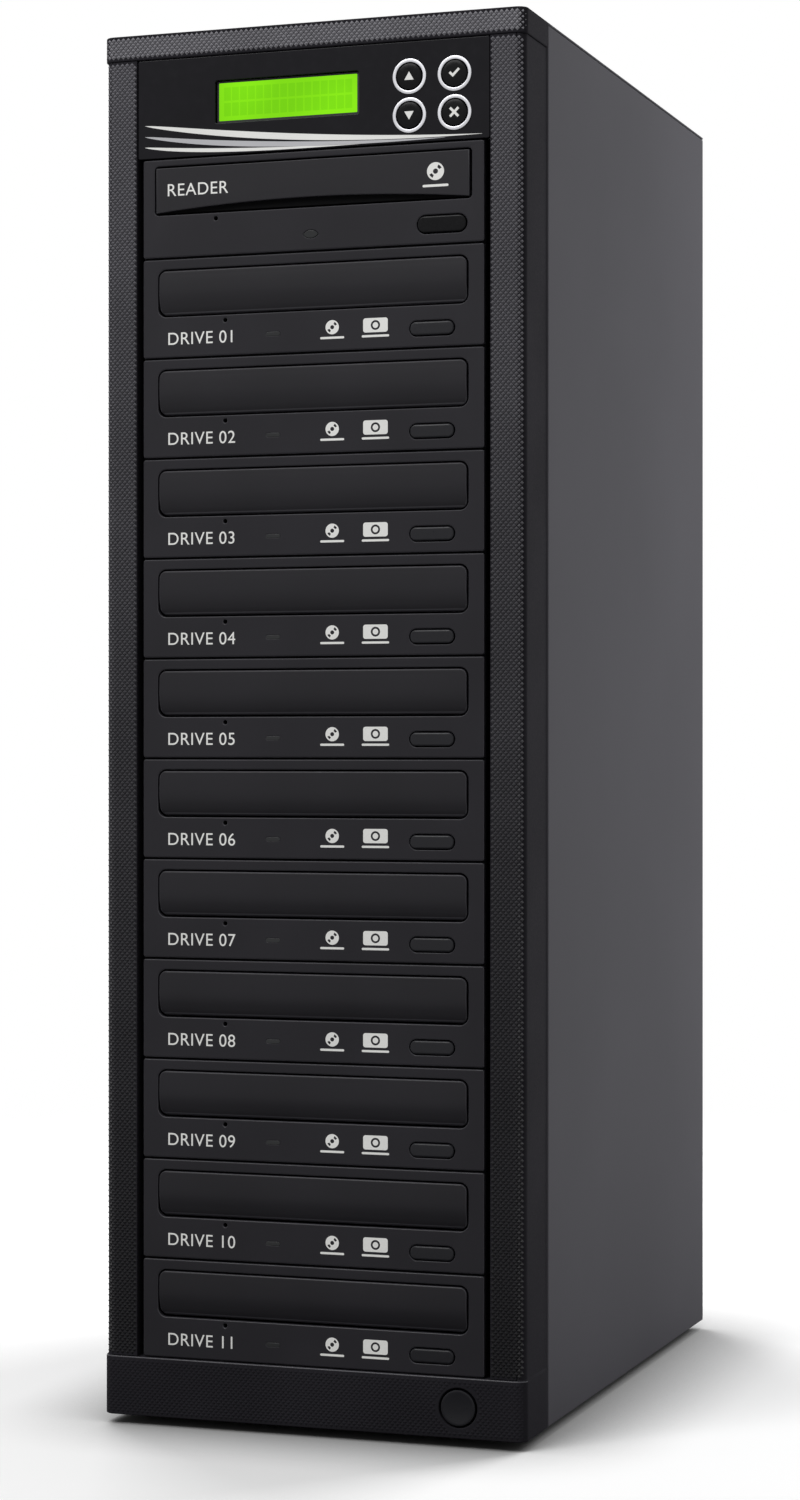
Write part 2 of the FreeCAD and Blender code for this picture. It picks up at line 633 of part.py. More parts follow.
def control_fascia():
    """Controller front: a plate with the display window, four key holes and board posts behind."""
    low, high = face_range(0)
    half = OPENING_HALF - FASCIA_GAP
    through = (FACE_SETBACK - OVERCUT, FASCIA_BACK + OVERCUT)
    face = bar((2 * half, high - low), (FACE_SETBACK, FASCIA_BACK), 0, (low + high) / 2)
    window = bar(
        (LCD_WINDOW["width"], LCD_WINDOW["height"]), through, LCD_WINDOW["x"],
        below_top(0, LCD_WINDOW["drop"]))
    holes = [rod(KEY_DIAMETER + 2 * KEY_GAP, through, x, z) for x, z in key_places()]
    inset = BOARD_MARGIN + POST_SIZE / 2
    key_edge = max(x for x, _ in key_places()) + KEY_DIAMETER / 2 + KEY_GAP
    right_post = max(half - inset, key_edge + POST_SIZE / 2)
    posts = [
        bar((POST_SIZE, POST_SIZE), (FASCIA_BACK, KEY_BOARD_FRONT), x, z)
        for x in (inset - half, right_post) for z in (low + inset, high - inset)]
    return [face.cut([window] + holes).fuse(posts).removeSplitter()]


def key_places():
    """Centres of the four keys: up, down, enter, escape."""
    ring = KEY_DIAMETER + 2 * (KEY_GAP + RING_WIDTH)
    across, down = (ring + KEY_SPACE) / 2, (ring + KEY_SPACE_UP) / 2
    middle = below_top(0, KEY_MIDDLE_DROP)
    return [(KEY_MIDDLE + side * across, middle - row * down) for side in (-1, 1) for row in (-1, 1)]


def key(x, z):
    """Round key with a square stem that ends just short of its switch."""
    front = FACE_SETBACK - KEY_PROUD
    stem_end = KEY_BOARD_FRONT - TACT_HEIGHT - KEY_TRAVEL - PANEL_GAP
    cap = rod(KEY_DIAMETER, (front, FASCIA_BACK + SHEET), x, z)
    stem = bar((KEY_STEM, KEY_STEM), (FASCIA_BACK + SHEET, stem_end), x, z)
    return [cap.fuse(stem)]


def key_rings():
    """Bright trim rings round the four keys."""
    bore = KEY_DIAMETER + 2 * KEY_GAP
    depth = (FACE_SETBACK - RING_PROUD, FACE_SETBACK)
    return [rod(bore + 2 * RING_WIDTH, depth, x, z).cut(rod(bore, depth, x, z)) for x, z in key_places()]


def lcd_module():
    """Character display: a metal frame on the key board and a raised glass in the window."""
    x, z = LCD_WINDOW["x"], below_top(0, LCD_WINDOW["drop"])
    width, height = LCD_WINDOW["width"], LCD_WINDOW["height"]
    frame_front = FASCIA_BACK + PANEL_GAP
    frame = bar((width + 2 * LCD_BORDER, height + 2 * LCD_BORDER), (frame_front, KEY_BOARD_FRONT), x, z)
    glass = bar(
        (width - 2 * LCD_GLASS_GAP, height - 2 * LCD_GLASS_GAP),
        (FACE_SETBACK + LCD_GLASS_SETBACK, frame_front), x, z)
    return [frame.fuse(glass)]


def key_board():
    """Circuit board behind the controller front, with a switch under each key."""
    low, high = face_range(0)
    half = OPENING_HALF - FASCIA_GAP - BOARD_MARGIN
    board = block(
        (-half, half), (KEY_BOARD_FRONT, KEY_BOARD_FRONT + BOARD_THICKNESS),
        (low + BOARD_MARGIN, high - BOARD_MARGIN))
    switches = [
        bar((TACT_SIZE, TACT_SIZE), (KEY_BOARD_FRONT - TACT_HEIGHT, KEY_BOARD_FRONT), x, z)
        for x, z in key_places()]
    return [board.fuse(switches).removeSplitter()]


def sled_floor():
    """Upper face of the controller's sled."""
    return face_range(0)[0] + SLED_RISE + SHEET


def control_sled():
    """Folded steel sled that carries the controller board and the fascia."""
    low = face_range(0)[0] + SLED_RISE
    half, inner = DRIVE_HALF, DRIVE_HALF - SHEET
    flange = low + SLED_FLANGE
    profile = [
        (-half, low), (half, low), (half, flange), (inner, flange), (inner, sled_floor()),
        (-inner, sled_floor()), (-inner, flange), (-half, flange)]
    sled = front_prism(profile, (KEY_BOARD_FRONT + BOARD_THICKNESS, SLED_REAR))
    arm_depth = (FASCIA_BACK, KEY_BOARD_FRONT + BOARD_THICKNESS)
    arm = block((-half / 2, half / 2), arm_depth, (low, sled_floor()))
    reach = POST_SIZE / 2
    post_height = (sled_floor(), sled_floor() + STANDOFF_HEIGHT)
    posts = [
        block((x - reach, x + reach), (depth - reach, depth + reach), post_height)
        for x, depth in standoff_places()]
    return [sled.fuse([arm] + posts).removeSplitter()]


def main_board_depths():
    """Front and rear edge of the controller board."""
    rear = SLED_REAR - BOARD_MARGIN
    return rear - MAIN_BOARD_LENGTH, rear


def standoff_places():
    """Plan positions of the posts under the controller board."""
    front, rear = main_board_depths()
    side = MAIN_BOARD_WIDTH / 2 - POST_SIZE
    return [(x, depth) for x in (-side, side) for depth in (front + POST_SIZE, rear - 4 * POST_SIZE)]


def control_board():
    """Controller board with its processor and a row of drive ports along the rear edge."""
    front, rear = main_board_depths()
    low = sled_floor() + STANDOFF_HEIGHT
    top = low + BOARD_THICKNESS
    half = MAIN_BOARD_WIDTH / 2
    board = block((-half, half), (front, rear), (low, top))
    chip = block((-half / 3, half / 3), (front + half / 3, front + half), (top, top + 2 * BOARD_THICKNESS))
    port_half = PORT_PITCH / 3
    port_depth = (rear - PORT_PITCH, rear)
    ports = []
    for i in range(PORT_COUNT):
        x = (i - (PORT_COUNT - 1) / 2) * PORT_PITCH
        ports.append(block((x - port_half, x + port_half), port_depth, (top, top + PORT_PITCH)))
    return [board.fuse([chip] + ports).removeSplitter()]


def power_button():
    """Round push button in the base, with a stem towards its switch."""
    cap = rod(POWER_HOLE - 2 * POWER_GAP, (POWER_SETBACK, POWER_DEPTH), POWER_X, POWER_Z)
    stem_end = BEZEL_DEPTH - POWER_SWITCH_LENGTH - POWER_TRAVEL - PANEL_GAP
    stem = bar((POWER_STEM, POWER_STEM), (POWER_DEPTH, stem_end), POWER_X, POWER_Z)
    return [cap.fuse(stem)]


def power_switch():
    """Switch body on the front frame, behind the power button."""
    size = (POWER_SWITCH_SIZE, POWER_SWITCH_SIZE)
    return [bar(size, (BEZEL_DEPTH - POWER_SWITCH_LENGTH, BEZEL_DEPTH), POWER_X, POWER_Z)]


def inlet_x():
    """Middle of the mains inlet."""
    return PSU_MIDDLE + INLET_SHIFT


def rocker_recess():
    """Width and height of the recess that the rocker works in."""
    return ROCKER_WIDTH + 2 * ROCKER_GAP, ROCKER_HEIGHT + 4 * ROCKER_GAP


def inlet_heights():
    """Centre of the socket and centre of the rocker, stacked about the middle of the supply."""
    span = INLET_HEIGHT + INLET_WALL + rocker_recess()[1]
    return PSU_Z + span / 2 - INLET_HEIGHT / 2, PSU_Z - span / 2 + rocker_recess()[1] / 2


def inlet_body_size():
    """Width and height of the inlet moulding inside the supply's wall."""
    return (INLET_WIDTH + INLET_WALL,
            INLET_HEIGHT + rocker_recess()[1] + 3 * INLET_WALL)


def psu_case():
    """Sheet box of the power supply, open at its fan and at the inlet moulding."""
    left, right = PSU_RIGHT - PSU_WIDTH, PSU_RIGHT
    low, high = FLOOR_TOP, FLOOR_TOP + PSU_HEIGHT
    outside = block((left, right), (PSU_FRONT, REAR_INSIDE), (low, high))
    inside_depth = (PSU_FRONT + SHEET, REAR_INSIDE - SHEET)
    inside = block((left + SHEET, right - SHEET), inside_depth, (low + SHEET, high - SHEET))
    through = (REAR_INSIDE - 2 * SHEET, REAR_INSIDE + OVERCUT)
    width, height = inlet_body_size()
    fan_hole = rod(fan_bore(PSU_FAN) - SHEET, through, PSU_MIDDLE + PSU_FAN_SHIFT, PSU_Z)
    inlet_hole = bar((width + PANEL_GAP, height + PANEL_GAP), through, inlet_x(), PSU_Z)
    return [outside.cut([inside, fan_hole, inlet_hole])]


def psu_inlet():
    """Inlet moulding: a three-pin socket above the recess of the rocker switch."""
    width, height = inlet_body_size()
    face = REAR_INSIDE + INLET_FLANGE
    socket_z, rocker_z = inlet_heights()
    body = bar((width, height), (face - INLET_DEPTH - INLET_WALL, REAR_INSIDE), inlet_x(), PSU_Z)
    flange = bar((width + INLET_WALL, height + INLET_WALL), (REAR_INSIDE, face), inlet_x(), PSU_Z)
    socket_floor = face - INLET_DEPTH
    left, right = inlet_x() - INLET_WIDTH / 2, inlet_x() + INLET_WIDTH / 2
    low, high = socket_z - INLET_HEIGHT / 2, socket_z + INLET_HEIGHT / 2
    socket = front_prism(
        [(left, low), (right, low), (right, high - INLET_CHAMFER), (right - INLET_CHAMFER, high),
         (left + INLET_CHAMFER, high), (left, high - INLET_CHAMFER)], (socket_floor, face + OVERCUT))
    recess_width, recess_height = rocker_recess()
    recess = bar(
        (recess_width, recess_height), (face - ROCKER_RECESS_DEPTH, face + OVERCUT), inlet_x(), rocker_z)
    pivot_half = recess_width / 2 + SHEET
    pivot = Part.makeCylinder(
        ROCKER_PIVOT_PIN / 2 + RUNNING_FIT, 2 * pivot_half,
        point(inlet_x() - pivot_half, face - ROCKER_PIVOT_DEPTH, rocker_z), RIGHT)
    pins = []
    for step, shift in ((-1, -1), (0, 1), (1, -1)):
        x = inlet_x() + step * PIN_SPACING
        z = socket_z + shift * PIN_HEIGHT / 2
        pins.append(block(
            (x - PIN_WIDTH / 2, x + PIN_WIDTH / 2), (socket_floor, socket_floor + PIN_LENGTH),
            (z - PIN_HEIGHT / 2, z + PIN_HEIGHT / 2)))
    return [body.fuse(flange).cut([socket, recess, pivot]).removeSplitter()] + pins


def psu_rocker():
    """Rocker of the mains switch, tilted to one side, on pivot pins in the inlet moulding."""
    face = REAR_INSIDE + INLET_FLANGE
    pivot_depth = face - ROCKER_PIVOT_DEPTH
    rocker_z = inlet_heights()[1]
    half = ROCKER_HEIGHT / 2
    waist = ROCKER_PIVOT_PIN
    profile = [
        (pivot_depth - waist, rocker_z - waist), (pivot_depth - ROCKER_KEEL, rocker_z - half),
        (face, rocker_z - half), (face - ROCKER_DISH, rocker_z), (face, rocker_z + half),
        (pivot_depth - ROCKER_KEEL, rocker_z + half), (pivot_depth - waist, rocker_z + waist)]
    paddle = side_prism(profile, (inlet_x() - ROCKER_WIDTH / 2, inlet_x() + ROCKER_WIDTH / 2))
    pin_half = rocker_recess()[0] / 2 + SHEET - PANEL_GAP
    pin = Part.makeCylinder(
        ROCKER_PIVOT_PIN / 2, 2 * pin_half, point(inlet_x() - pin_half, pivot_depth, rocker_z), RIGHT)
    rocker = paddle.fuse(pin).removeSplitter()
    rocker.rotate(point(inlet_x(), pivot_depth, rocker_z), RIGHT, ROCKER_TILT)
    return [rocker]


def fan_bore(fan):
    """Diameter of the round duct through a fan."""
    return fan["size"] - 2 * fan["wall"]


def screw_spacing(fan):
    """Distance between a fan's corner screws."""
    return fan["size"] - 2 * fan["screw_inset"]


def fan_frame(fan, x, z, rear):
    """Square fan frame with a motor plate on four struts and the pin that the rotor runs on."""
    front = rear - fan["thickness"]
    spider = (front, front + FAN_SPIDER)
    frame = bevelled(fan["size"], fan["size"], FAN_STRUT, x, z, (front, rear))
    frame = frame.cut(rod(fan_bore(fan), (front - OVERCUT, rear + OVERCUT), x, z))
    reach = fan_bore(fan) / 2 + SHEET
    struts = []
    for turn in range(4):
        strut = block((x, x + reach), spider, (z - FAN_STRUT / 2, z + FAN_STRUT / 2))
        strut.rotate(point(x, 0, z), BACK, 45 + 90 * turn)
        struts.append(strut)
    motor = bevelled(fan["hub"], fan["hub"], fan["hub"] / grown(2, math.sqrt(2)), x, z, spider)
    pin = rod(FAN_PIN, (front, pin_end(fan, rear)), x, z)
    return frame.fuse(struts + [motor, pin]).removeSplitter()


def pin_end(fan, rear):
    """Depth at which a fan's pin ends inside its hub."""
    return rear - fan["thickness"] / 3


def fan_blade(fan, x, z, depth):
    """One pitched blade, standing straight up from inside the hub."""
    pitch = math.radians(BLADE_PITCH)
    chord = (depth[1] - depth[0] - BLADE_THICKNESS) / math.sin(pitch)
    sweep = (chord * math.cos(pitch) + BLADE_THICKNESS) / 2
    tip = math.sqrt((fan_bore(fan) / 2 - BLADE_CLEARANCE) ** 2 - sweep ** 2)
    root = fan["hub"] / 4
    middle = (depth[0] + depth[1]) / 2
    blade = block(
        (x - chord / 2, x + chord / 2), (middle - BLADE_THICKNESS / 2, middle + BLADE_THICKNESS / 2),
        (z + root, z + tip))
    blade.rotate(point(x, middle, z), UP, BLADE_PITCH)
    return blade


def fan_rotor(fan, x, z, rear):
    """Fan rotor: a hub bored for its pin and a ring of pitched blades."""
    front = rear - fan["thickness"] + FAN_SPIDER + ROTOR_GAP
    back = rear - ROTOR_SETBACK
    bore_end = pin_end(fan, rear) + ROTOR_GAP
    hub = rod(fan["hub"], (front, back), x, z)
    blades = []
    for i in range(FAN_BLADES):
        blade = fan_blade(fan, x, z, (front + BLADE_CLEARANCE, back - BLADE_CLEARANCE))
        blade.rotate(point(x, 0, z), BACK, 360.0 * i / FAN_BLADES)
        blades.append(blade)
    bore = rod(FAN_PIN + 2 * RUNNING_FIT, (front - OVERCUT, bore_end), x, z)
    return [hub.fuse(blades).cut(bore).removeSplitter()]


def fan_guard(fan, x, z, face):
    """Finger guard: concentric rings on two crossed straps that end in ears."""
    wire = GUARD_WIRE
    strap_depth = (face, face + wire)
    ring_depth = (face + wire, face + 2 * wire)
    half_diagonal = screw_spacing(fan) / math.sqrt(2)
    pieces = []
    for turn in (45, 135):
        strap = block((x - half_diagonal, x + half_diagonal), strap_depth, (z - wire, z + wire))
        strap.rotate(point(x, 0, z), BACK, turn)
        pieces.append(strap)
    for side in (-1, 1):
        for rise in (-1, 1):
            ear_x, ear_z = x + side * screw_spacing(fan) / 2, z + rise * screw_spacing(fan) / 2
            pieces.append(bevelled(GUARD_EAR, GUARD_EAR, wire, ear_x, ear_z, strap_depth))
    spacing = (fan_bore(fan) / 2 - wire) / fan["guard_rings"]
    for ring in range(1, fan["guard_rings"] + 1):
        middle = 2 * ring * spacing
        pieces.append(rod(middle + wire, ring_depth, x, z).cut(rod(middle - wire, ring_depth, x, z)))
    return pieces[0].fuse(pieces[1:]).removeSplitter()


def cabinet_fan():
    """Place of the cabinet fan: the fan, its centre and the wall that it stands against."""
    return CASE_FAN, 0, CASE_FAN_RISE, REAR_INSIDE


def supply_fan():
    """Place of the fan inside the power supply."""
    return PSU_FAN, PSU_MIDDLE + PSU_FAN_SHIFT, PSU_Z, REAR_INSIDE - SHEET


def loom(size, lowest, board_z):
    """Wiring loom: a trunk behind the drives, a plug at each drive and an end on the controller."""
    x = size["x"]
    width, thickness = size["trunk"]
    middle = DRIVE_REAR + WIRING_SPACE / 2
    plug_depth = (DRIVE_REAR, DRIVE_REAR + PLUG_LENGTH)
    pieces = [bar(size["branch"], (main_board_depths()[1], middle), x, board_z)]
    for bay in range(1, BAYS):
        z = bay_bottom(bay) + PLUG_RISE
        pieces.append(bar(size["plug"], plug_depth, x, z))
        pieces.append(bar(size["branch"], (plug_depth[1], middle), x, z))
    trunk = block(
        (x - width / 2, x + width / 2), (middle - thickness / 2, middle + thickness / 2),
        (lowest - thickness, board_z + thickness))
    return trunk.fuse(pieces).removeSplitter()


def wiring_looms():
    """Data loom from the controller and power loom from the supply, one plug each per drive."""
    board_z = sled_floor() + STANDOFF_HEIGHT + BOARD_THICKNESS + PORT_PITCH / 2
    lowest_plug = bay_bottom(BAYS - 1) + PLUG_RISE
    data = loom(DATA_LOOM, lowest_plug, board_z)
    power = loom(POWER_LOOM, lowest_plug, board_z)
    feed_z = FLOOR_TOP + PSU_HEIGHT - FEED_DROP
    feed = bar(POWER_LOOM["branch"], (DRIVE_REAR + WIRING_SPACE / 2, PSU_FRONT), POWER_LOOM["x"], feed_z)
    return [data, power.fuse(feed).removeSplitter()]


def nodes():
    """Every named node with its solids."""
    burner_bays = range(2, BAYS)
    drive_bays = [(1, READER_DOOR)] + [(bay, BURNER_DOOR) for bay in burner_bays]
    right_panel = side_panel()
    lamps = [(1, READER_LAMP)] + [(bay, BURNER_LAMP) for bay in burner_bays]
    guards = [
        fan_guard(CASE_FAN, 0, CASE_FAN_RISE, REAR_OUTSIDE),
        fan_guard(PSU_FAN, supply_fan()[1], PSU_Z, REAR_INSIDE)]
    made = {
        "base_pan": base_pan(),
        "rear_panel": rear_panel(),
        "left_panel": [mirrored(right_panel)],
        "right_panel": [right_panel],
        "top_cover": top_cover(),
        "front_frame": front_frame(),
        "cage_walls": cage_walls(),
        "front_bezel": front_bezel(),
        "top_cap": top_cap(),
        "side_strips": side_strips(),
        "feet": feet(),
        "control_fascia": control_fascia(),
        "lcd_module": lcd_module(),
        "key_rings": key_rings(),
        "key_board": key_board(),
        "control_board": control_board(),
        "control_sled": control_sled(),
        "power_button": power_button(),
        "power_switch": power_switch(),
        "reader_bezel": [drive_bezel(1, READER_DOOR, READER_EJECT, READER_LAMP, READER_PINHOLE)],
        "reader_tray": tray(1, READER_DOOR, arched_door(1, READER_DOOR)),
        "reader_eject": eject_button(1, READER_EJECT),
        "burner_bezels": [
            drive_bezel(bay, BURNER_DOOR, BURNER_EJECT, BURNER_LAMP, BURNER_PINHOLE)
            for bay in burner_bays],
        "lamp_lenses": [lamp_lens(bay, lamp) for bay, lamp in lamps],
        "drive_covers": [drive_cover(bay) for bay, _ in drive_bays],
        "drive_chassis": [drive_chassis(bay, door) for bay, door in drive_bays],
        "psu_case": psu_case(),
        "psu_inlet": psu_inlet(),
        "psu_rocker": psu_rocker(),
        "fan_frames": [fan_frame(*cabinet_fan()), fan_frame(*supply_fan())],
        "case_fan_rotor": fan_rotor(*cabinet_fan()),
        "psu_fan_rotor": fan_rotor(*supply_fan()),
        "fan_guards": guards,
        "wiring_looms": wiring_looms(),
    }
    for name, place in zip(("up", "down", "enter", "escape"), key_places()):
        made["key_" + name] = key(*place)
    for bay in burner_bays:
        made[f"burner_tray_{bay - 1:02d}"] = tray(bay, BURNER_DOOR, crowned_door(bay, BURNER_DOOR))
        made[f"burner_eject_{bay - 1:02d}"] = eject_button(bay, BURNER_EJECT)
    return made


os.makedirs("parts", exist_ok=True)
for node, solids in nodes().items():
    shape = solids[0] if len(solids) == 1 else Part.makeCompound(solids)
    shape.exportStep(os.path.join("parts", node + ".step"))
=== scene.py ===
"""Disc duplicator tower: fine detail, finishes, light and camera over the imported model.

Lengths in the classes are in millimetres. A "depth" is measured backwards from the front plane of the
tower, and a "drop" downwards from the top edge of a bay's front.
"""

import logging
import math
from dataclasses import dataclass, field
from enum import Enum
from typing import Any, Sequence

import bmesh
import bpy
from mathutils import Matrix, Vector


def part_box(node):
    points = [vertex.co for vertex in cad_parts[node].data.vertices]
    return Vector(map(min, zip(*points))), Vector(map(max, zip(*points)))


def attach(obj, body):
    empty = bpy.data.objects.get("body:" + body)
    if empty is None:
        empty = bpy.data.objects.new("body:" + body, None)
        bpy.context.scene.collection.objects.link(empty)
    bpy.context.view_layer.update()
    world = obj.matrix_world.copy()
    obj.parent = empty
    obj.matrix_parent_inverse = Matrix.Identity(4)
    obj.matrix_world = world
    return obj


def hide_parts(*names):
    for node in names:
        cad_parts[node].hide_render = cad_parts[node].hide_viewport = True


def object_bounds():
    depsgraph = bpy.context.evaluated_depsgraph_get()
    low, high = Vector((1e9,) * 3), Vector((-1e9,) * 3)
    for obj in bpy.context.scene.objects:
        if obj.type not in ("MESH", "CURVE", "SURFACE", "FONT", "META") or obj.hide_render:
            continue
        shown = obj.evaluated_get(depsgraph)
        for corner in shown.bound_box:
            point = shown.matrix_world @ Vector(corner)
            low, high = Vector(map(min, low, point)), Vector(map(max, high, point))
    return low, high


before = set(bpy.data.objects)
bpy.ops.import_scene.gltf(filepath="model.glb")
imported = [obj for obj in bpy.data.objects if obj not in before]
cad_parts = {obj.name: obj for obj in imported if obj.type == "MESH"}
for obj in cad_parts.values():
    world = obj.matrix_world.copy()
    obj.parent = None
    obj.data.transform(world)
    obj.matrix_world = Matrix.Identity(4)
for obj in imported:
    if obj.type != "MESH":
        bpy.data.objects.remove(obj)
CAD_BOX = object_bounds()
LOG = logging.getLogger("tower")
MM = 0.001
FRONT_Y = CAD_BOX[0].y
# Points of a mesh that are nearer to each other than this, in metres, are one
WELD = 1e-6
# Nearly all values of a noise lie between these
NOISE_SPAN = (0.3, 0.7)
# Sides of a wire's round section
WIRE_SIDES = 10
# Faces of a rounded edge are smaller than this, in square millimetres
EDGE_AREA = 60.0
# Least and greatest share of such a face's normal that points to the front
EDGE_TILT = (0.2, 0.9)
Pair = tuple[float, float]
Outline = list[Pair]
Profile = tuple[Pair, ...]


class Facing(Enum):
    """Plane that a flat outline is drawn in."""

    FRONT = "front"
    TOP = "top"


# Finishes


def linear(colour: str) -> tuple[float, float, float, float]:
    """Turn an sRGB hex colour into linear RGBA.

    Args:
        colour: "#rrggbb".

    Returns:
        Linear red, green, blue and an alpha of 1.
    """
    parts = [int(colour[i:i + 2], 16) / 255.0 for i in (1, 3, 5)]
    values = [p / 12.92 if p <= 0.04045 else ((p + 0.055) / 1.055) ** 2.4 for p in parts]
    return values[0], values[1], values[2], 1.0


def add_node(tree: Any, kind: str, inputs: dict[Any, Any] | None = None, **settings: Any) -> Any:
    """Add a node to a tree, with its settings, input values and links.

    Args:
        tree: shader or geometry node tree.
        kind: Blender's name of the node type.
        inputs: input name or number to a value, or to the socket that feeds it.
        settings: properties of the node itself.

    Returns:
        The new node.
    """
    node = tree.nodes.new(kind)
    for key, value in settings.items():
        setattr(node, key, value)
    for key, value in (inputs or {}).items():
        if isinstance(value, bpy.types.NodeSocket):
            tree.links.new(value, node.inputs[key])
        else:
            node.inputs[key].default_value = value
    return node


@dataclass(frozen=True)
class Finish:
    """A finish with one colour; kinds of finish add their surface to it."""

    name: str
    colour: str
    roughness: float

    def material(self) -> bpy.types.Material:
        """Make the finish's material the first time it is asked for.

        Returns:
            The material.
        """
        made = bpy.data.materials.get(self.name)
        if made:
            return made
        made = bpy.data.materials.new(self.name)
        made.use_nodes = True
        tree = made.node_tree
        shader = next(n for n in tree.nodes if n.type == "BSDF_PRINCIPLED")
        shader.inputs["Base Color"].default_value = linear(self.colour)
        shader.inputs["Roughness"].default_value = self.roughness
        made.diffuse_color = linear(self.colour)
        self.dress(tree, shader)
        return made

    def varied(self, tree: Any, pattern: Any, span: Pair, tone: Pair) -> Any:
        """Vary the finish's colour by a pattern.

        Args:
            tree: node tree of the material.
            pattern: socket of the pattern's value.
            span: lowest and highest value of the pattern.
            tone: what the colour is multiplied by at those two.

        Returns:
            Socket of the varied colour.
        """
        level = add_node(tree, "ShaderNodeMapRange", {
            "Value": pattern, "From Min": span[0], "From Max": span[1], "To Min": tone[0], "To Max": tone[1]})
        colour = add_node(tree, "ShaderNodeMix", {
            0: 1.0, 6: linear(self.colour), 7: level.outputs[0]}, data_type="RGBA", blend_type="MULTIPLY")
        return colour.outputs[2]

    def dress(self, tree: Any, shader: Any) -> None:
        """Add the finish's surface to its shader.

        Args:
            tree: node tree of the material.
            shader: its Principled shader.
        """


@dataclass(frozen=True)
class MouldedPlastic(Finish):
    """Moulded thermoplastic: the tool's spark-eroded grain breaks up its gloss.

    Such a grain is about 0.1 mm wide, too fine to show, so it is drawn as coarse as the render needs.
    """

    grain: float = 0.6
    height: float = 0.03
    gloss: float = 0.3
    mottle: float = 0.12
    drift: float = 45.0
    dulling: float = 0.07

    def dress(self, tree: Any, shader: Any) -> None:
        """Add the mould grain and a slow drift of tone and gloss.

        Args:
            tree: node tree of the material.
            shader: its Principled shader.
        """
        place = add_node(tree, "ShaderNodeTexCoord").outputs["Object"]
        grain = add_node(tree, "ShaderNodeTexNoise", {
            "Vector": place, "Scale": 1.0 / (self.grain * MM), "Detail": 3.0, "Roughness": 0.6})
        drift = add_node(tree, "ShaderNodeTexNoise", {
            "Vector": place, "Scale": 1.0 / (self.drift * MM), "Detail": 2.0})
        tone = (1.0 - self.mottle, 1.0 + self.mottle)
        colour = self.varied(tree, drift.outputs["Fac"], NOISE_SPAN, tone)
        dull = add_node(tree, "ShaderNodeMapRange", {
            "Value": grain.outputs["Fac"], "From Min": NOISE_SPAN[0], "From Max": NOISE_SPAN[1],
            "To Min": self.roughness - self.dulling, "To Max": self.roughness + self.dulling})
        bump = add_node(tree, "ShaderNodeBump", {
            "Height": grain.outputs["Fac"], "Strength": 1.0, "Distance": self.height * MM})
        tree.links.new(colour, shader.inputs["Base Color"])
        tree.links.new(dull.outputs[0], shader.inputs["Roughness"])
        tree.links.new(bump.outputs[0], shader.inputs["Normal"])
        shader.inputs["Specular IOR Level"].default_value = self.gloss


@dataclass(frozen=True)
class PaintedShadePlastic(MouldedPlastic):
    """Moulded relief with painted shade: its colour is painted darker towards the foot, standing in for
    polished ridges that catch the light from above.
    """

    # Painted shade: heights between which it fades, the share of the colour left at the foot, and the curve
    # of the fade
    low: float = 20.0
    high: float = 578.0
    least: float = 0.1
    curve: float = 1.5

    def dress(self, tree: Any, shader: Any) -> None:
        """Add the plastic's surface, then paint shade into its colour, darker downwards.

        Args:
            tree: node tree of the material.
            shader: its Principled shader.
        """
        super().dress(tree, shader)
        colour = shader.inputs["Base Color"].links[0].from_socket
        # Painted shade: the colour is multiplied by a level that falls from 1 at the top to the least at the
        # foot
        place = add_node(tree, "ShaderNodeTexCoord").outputs["Object"]
        split = add_node(tree, "ShaderNodeSeparateXYZ", {0: place})
        rise = add_node(tree, "ShaderNodeMapRange", {
            "Value": split.outputs["Z"], "From Min": self.low * MM, "From Max": self.high * MM})
        curve = add_node(tree, "ShaderNodeMath", {0: rise.outputs[0], 1: self.curve}, operation="POWER")
        dim = add_node(tree, "ShaderNodeMath", {
            0: curve.outputs[0], 1: 1.0 - self.least, 2: self.least}, operation="MULTIPLY_ADD")
        dimmed = add_node(tree, "ShaderNodeMix", {
            0: 1.0, 6: colour, 7: dim.outputs[0]}, data_type="RGBA", blend_type="MULTIPLY")
        tree.links.new(dimmed.outputs[2], shader.inputs["Base Color"])


@dataclass(frozen=True)
class PowderCoat(Finish):
    """Sheet steel with a baked powder coat: a fine orange peel under a soft sheen.

    The specks of its pigment are too fine to show, so they are drawn half a millimetre wide.
    """

    peel: float = 1.1
    height: float = 0.012
    speck: float = 0.5
    drift: float = 120.0
    mottle: float = 0.12
    gloss: float = 0.04

    def dress(self, tree: Any, shader: Any) -> None:
        """Add the orange peel, fine specks of pigment and a slow drift of tone.

        Args:
            tree: node tree of the material.
            shader: its Principled shader.
        """
        place = add_node(tree, "ShaderNodeTexCoord").outputs["Object"]
        peel = add_node(tree, "ShaderNodeTexNoise", {
            "Vector": place, "Scale": 1.0 / (self.peel * MM), "Detail": 1.0})
        speck = add_node(tree, "ShaderNodeTexNoise", {
            "Vector": place, "Scale": 1.0 / (self.speck * MM), "Detail": 2.0})
        drift = add_node(tree, "ShaderNodeTexNoise", {
            "Vector": place, "Scale": 1.0 / (self.drift * MM), "Detail": 2.0})
        both = add_node(tree, "ShaderNodeMath", {
            0: speck.outputs["Fac"], 1: drift.outputs["Fac"]}, operation="ADD")
        span = (2 * NOISE_SPAN[0], 2 * NOISE_SPAN[1])
        colour = self.varied(tree, both.outputs[0], span, (1.0 - self.mottle, 1.0 + self.mottle))
        bump = add_node(tree, "ShaderNodeBump", {
            "Height": peel.outputs["Fac"], "Strength": 1.0, "Distance": self.height * MM})
        tree.links.new(colour, shader.inputs["Base Color"])
        tree.links.new(bump.outputs[0], shader.inputs["Normal"])
        shader.inputs["Specular IOR Level"].default_value = self.gloss


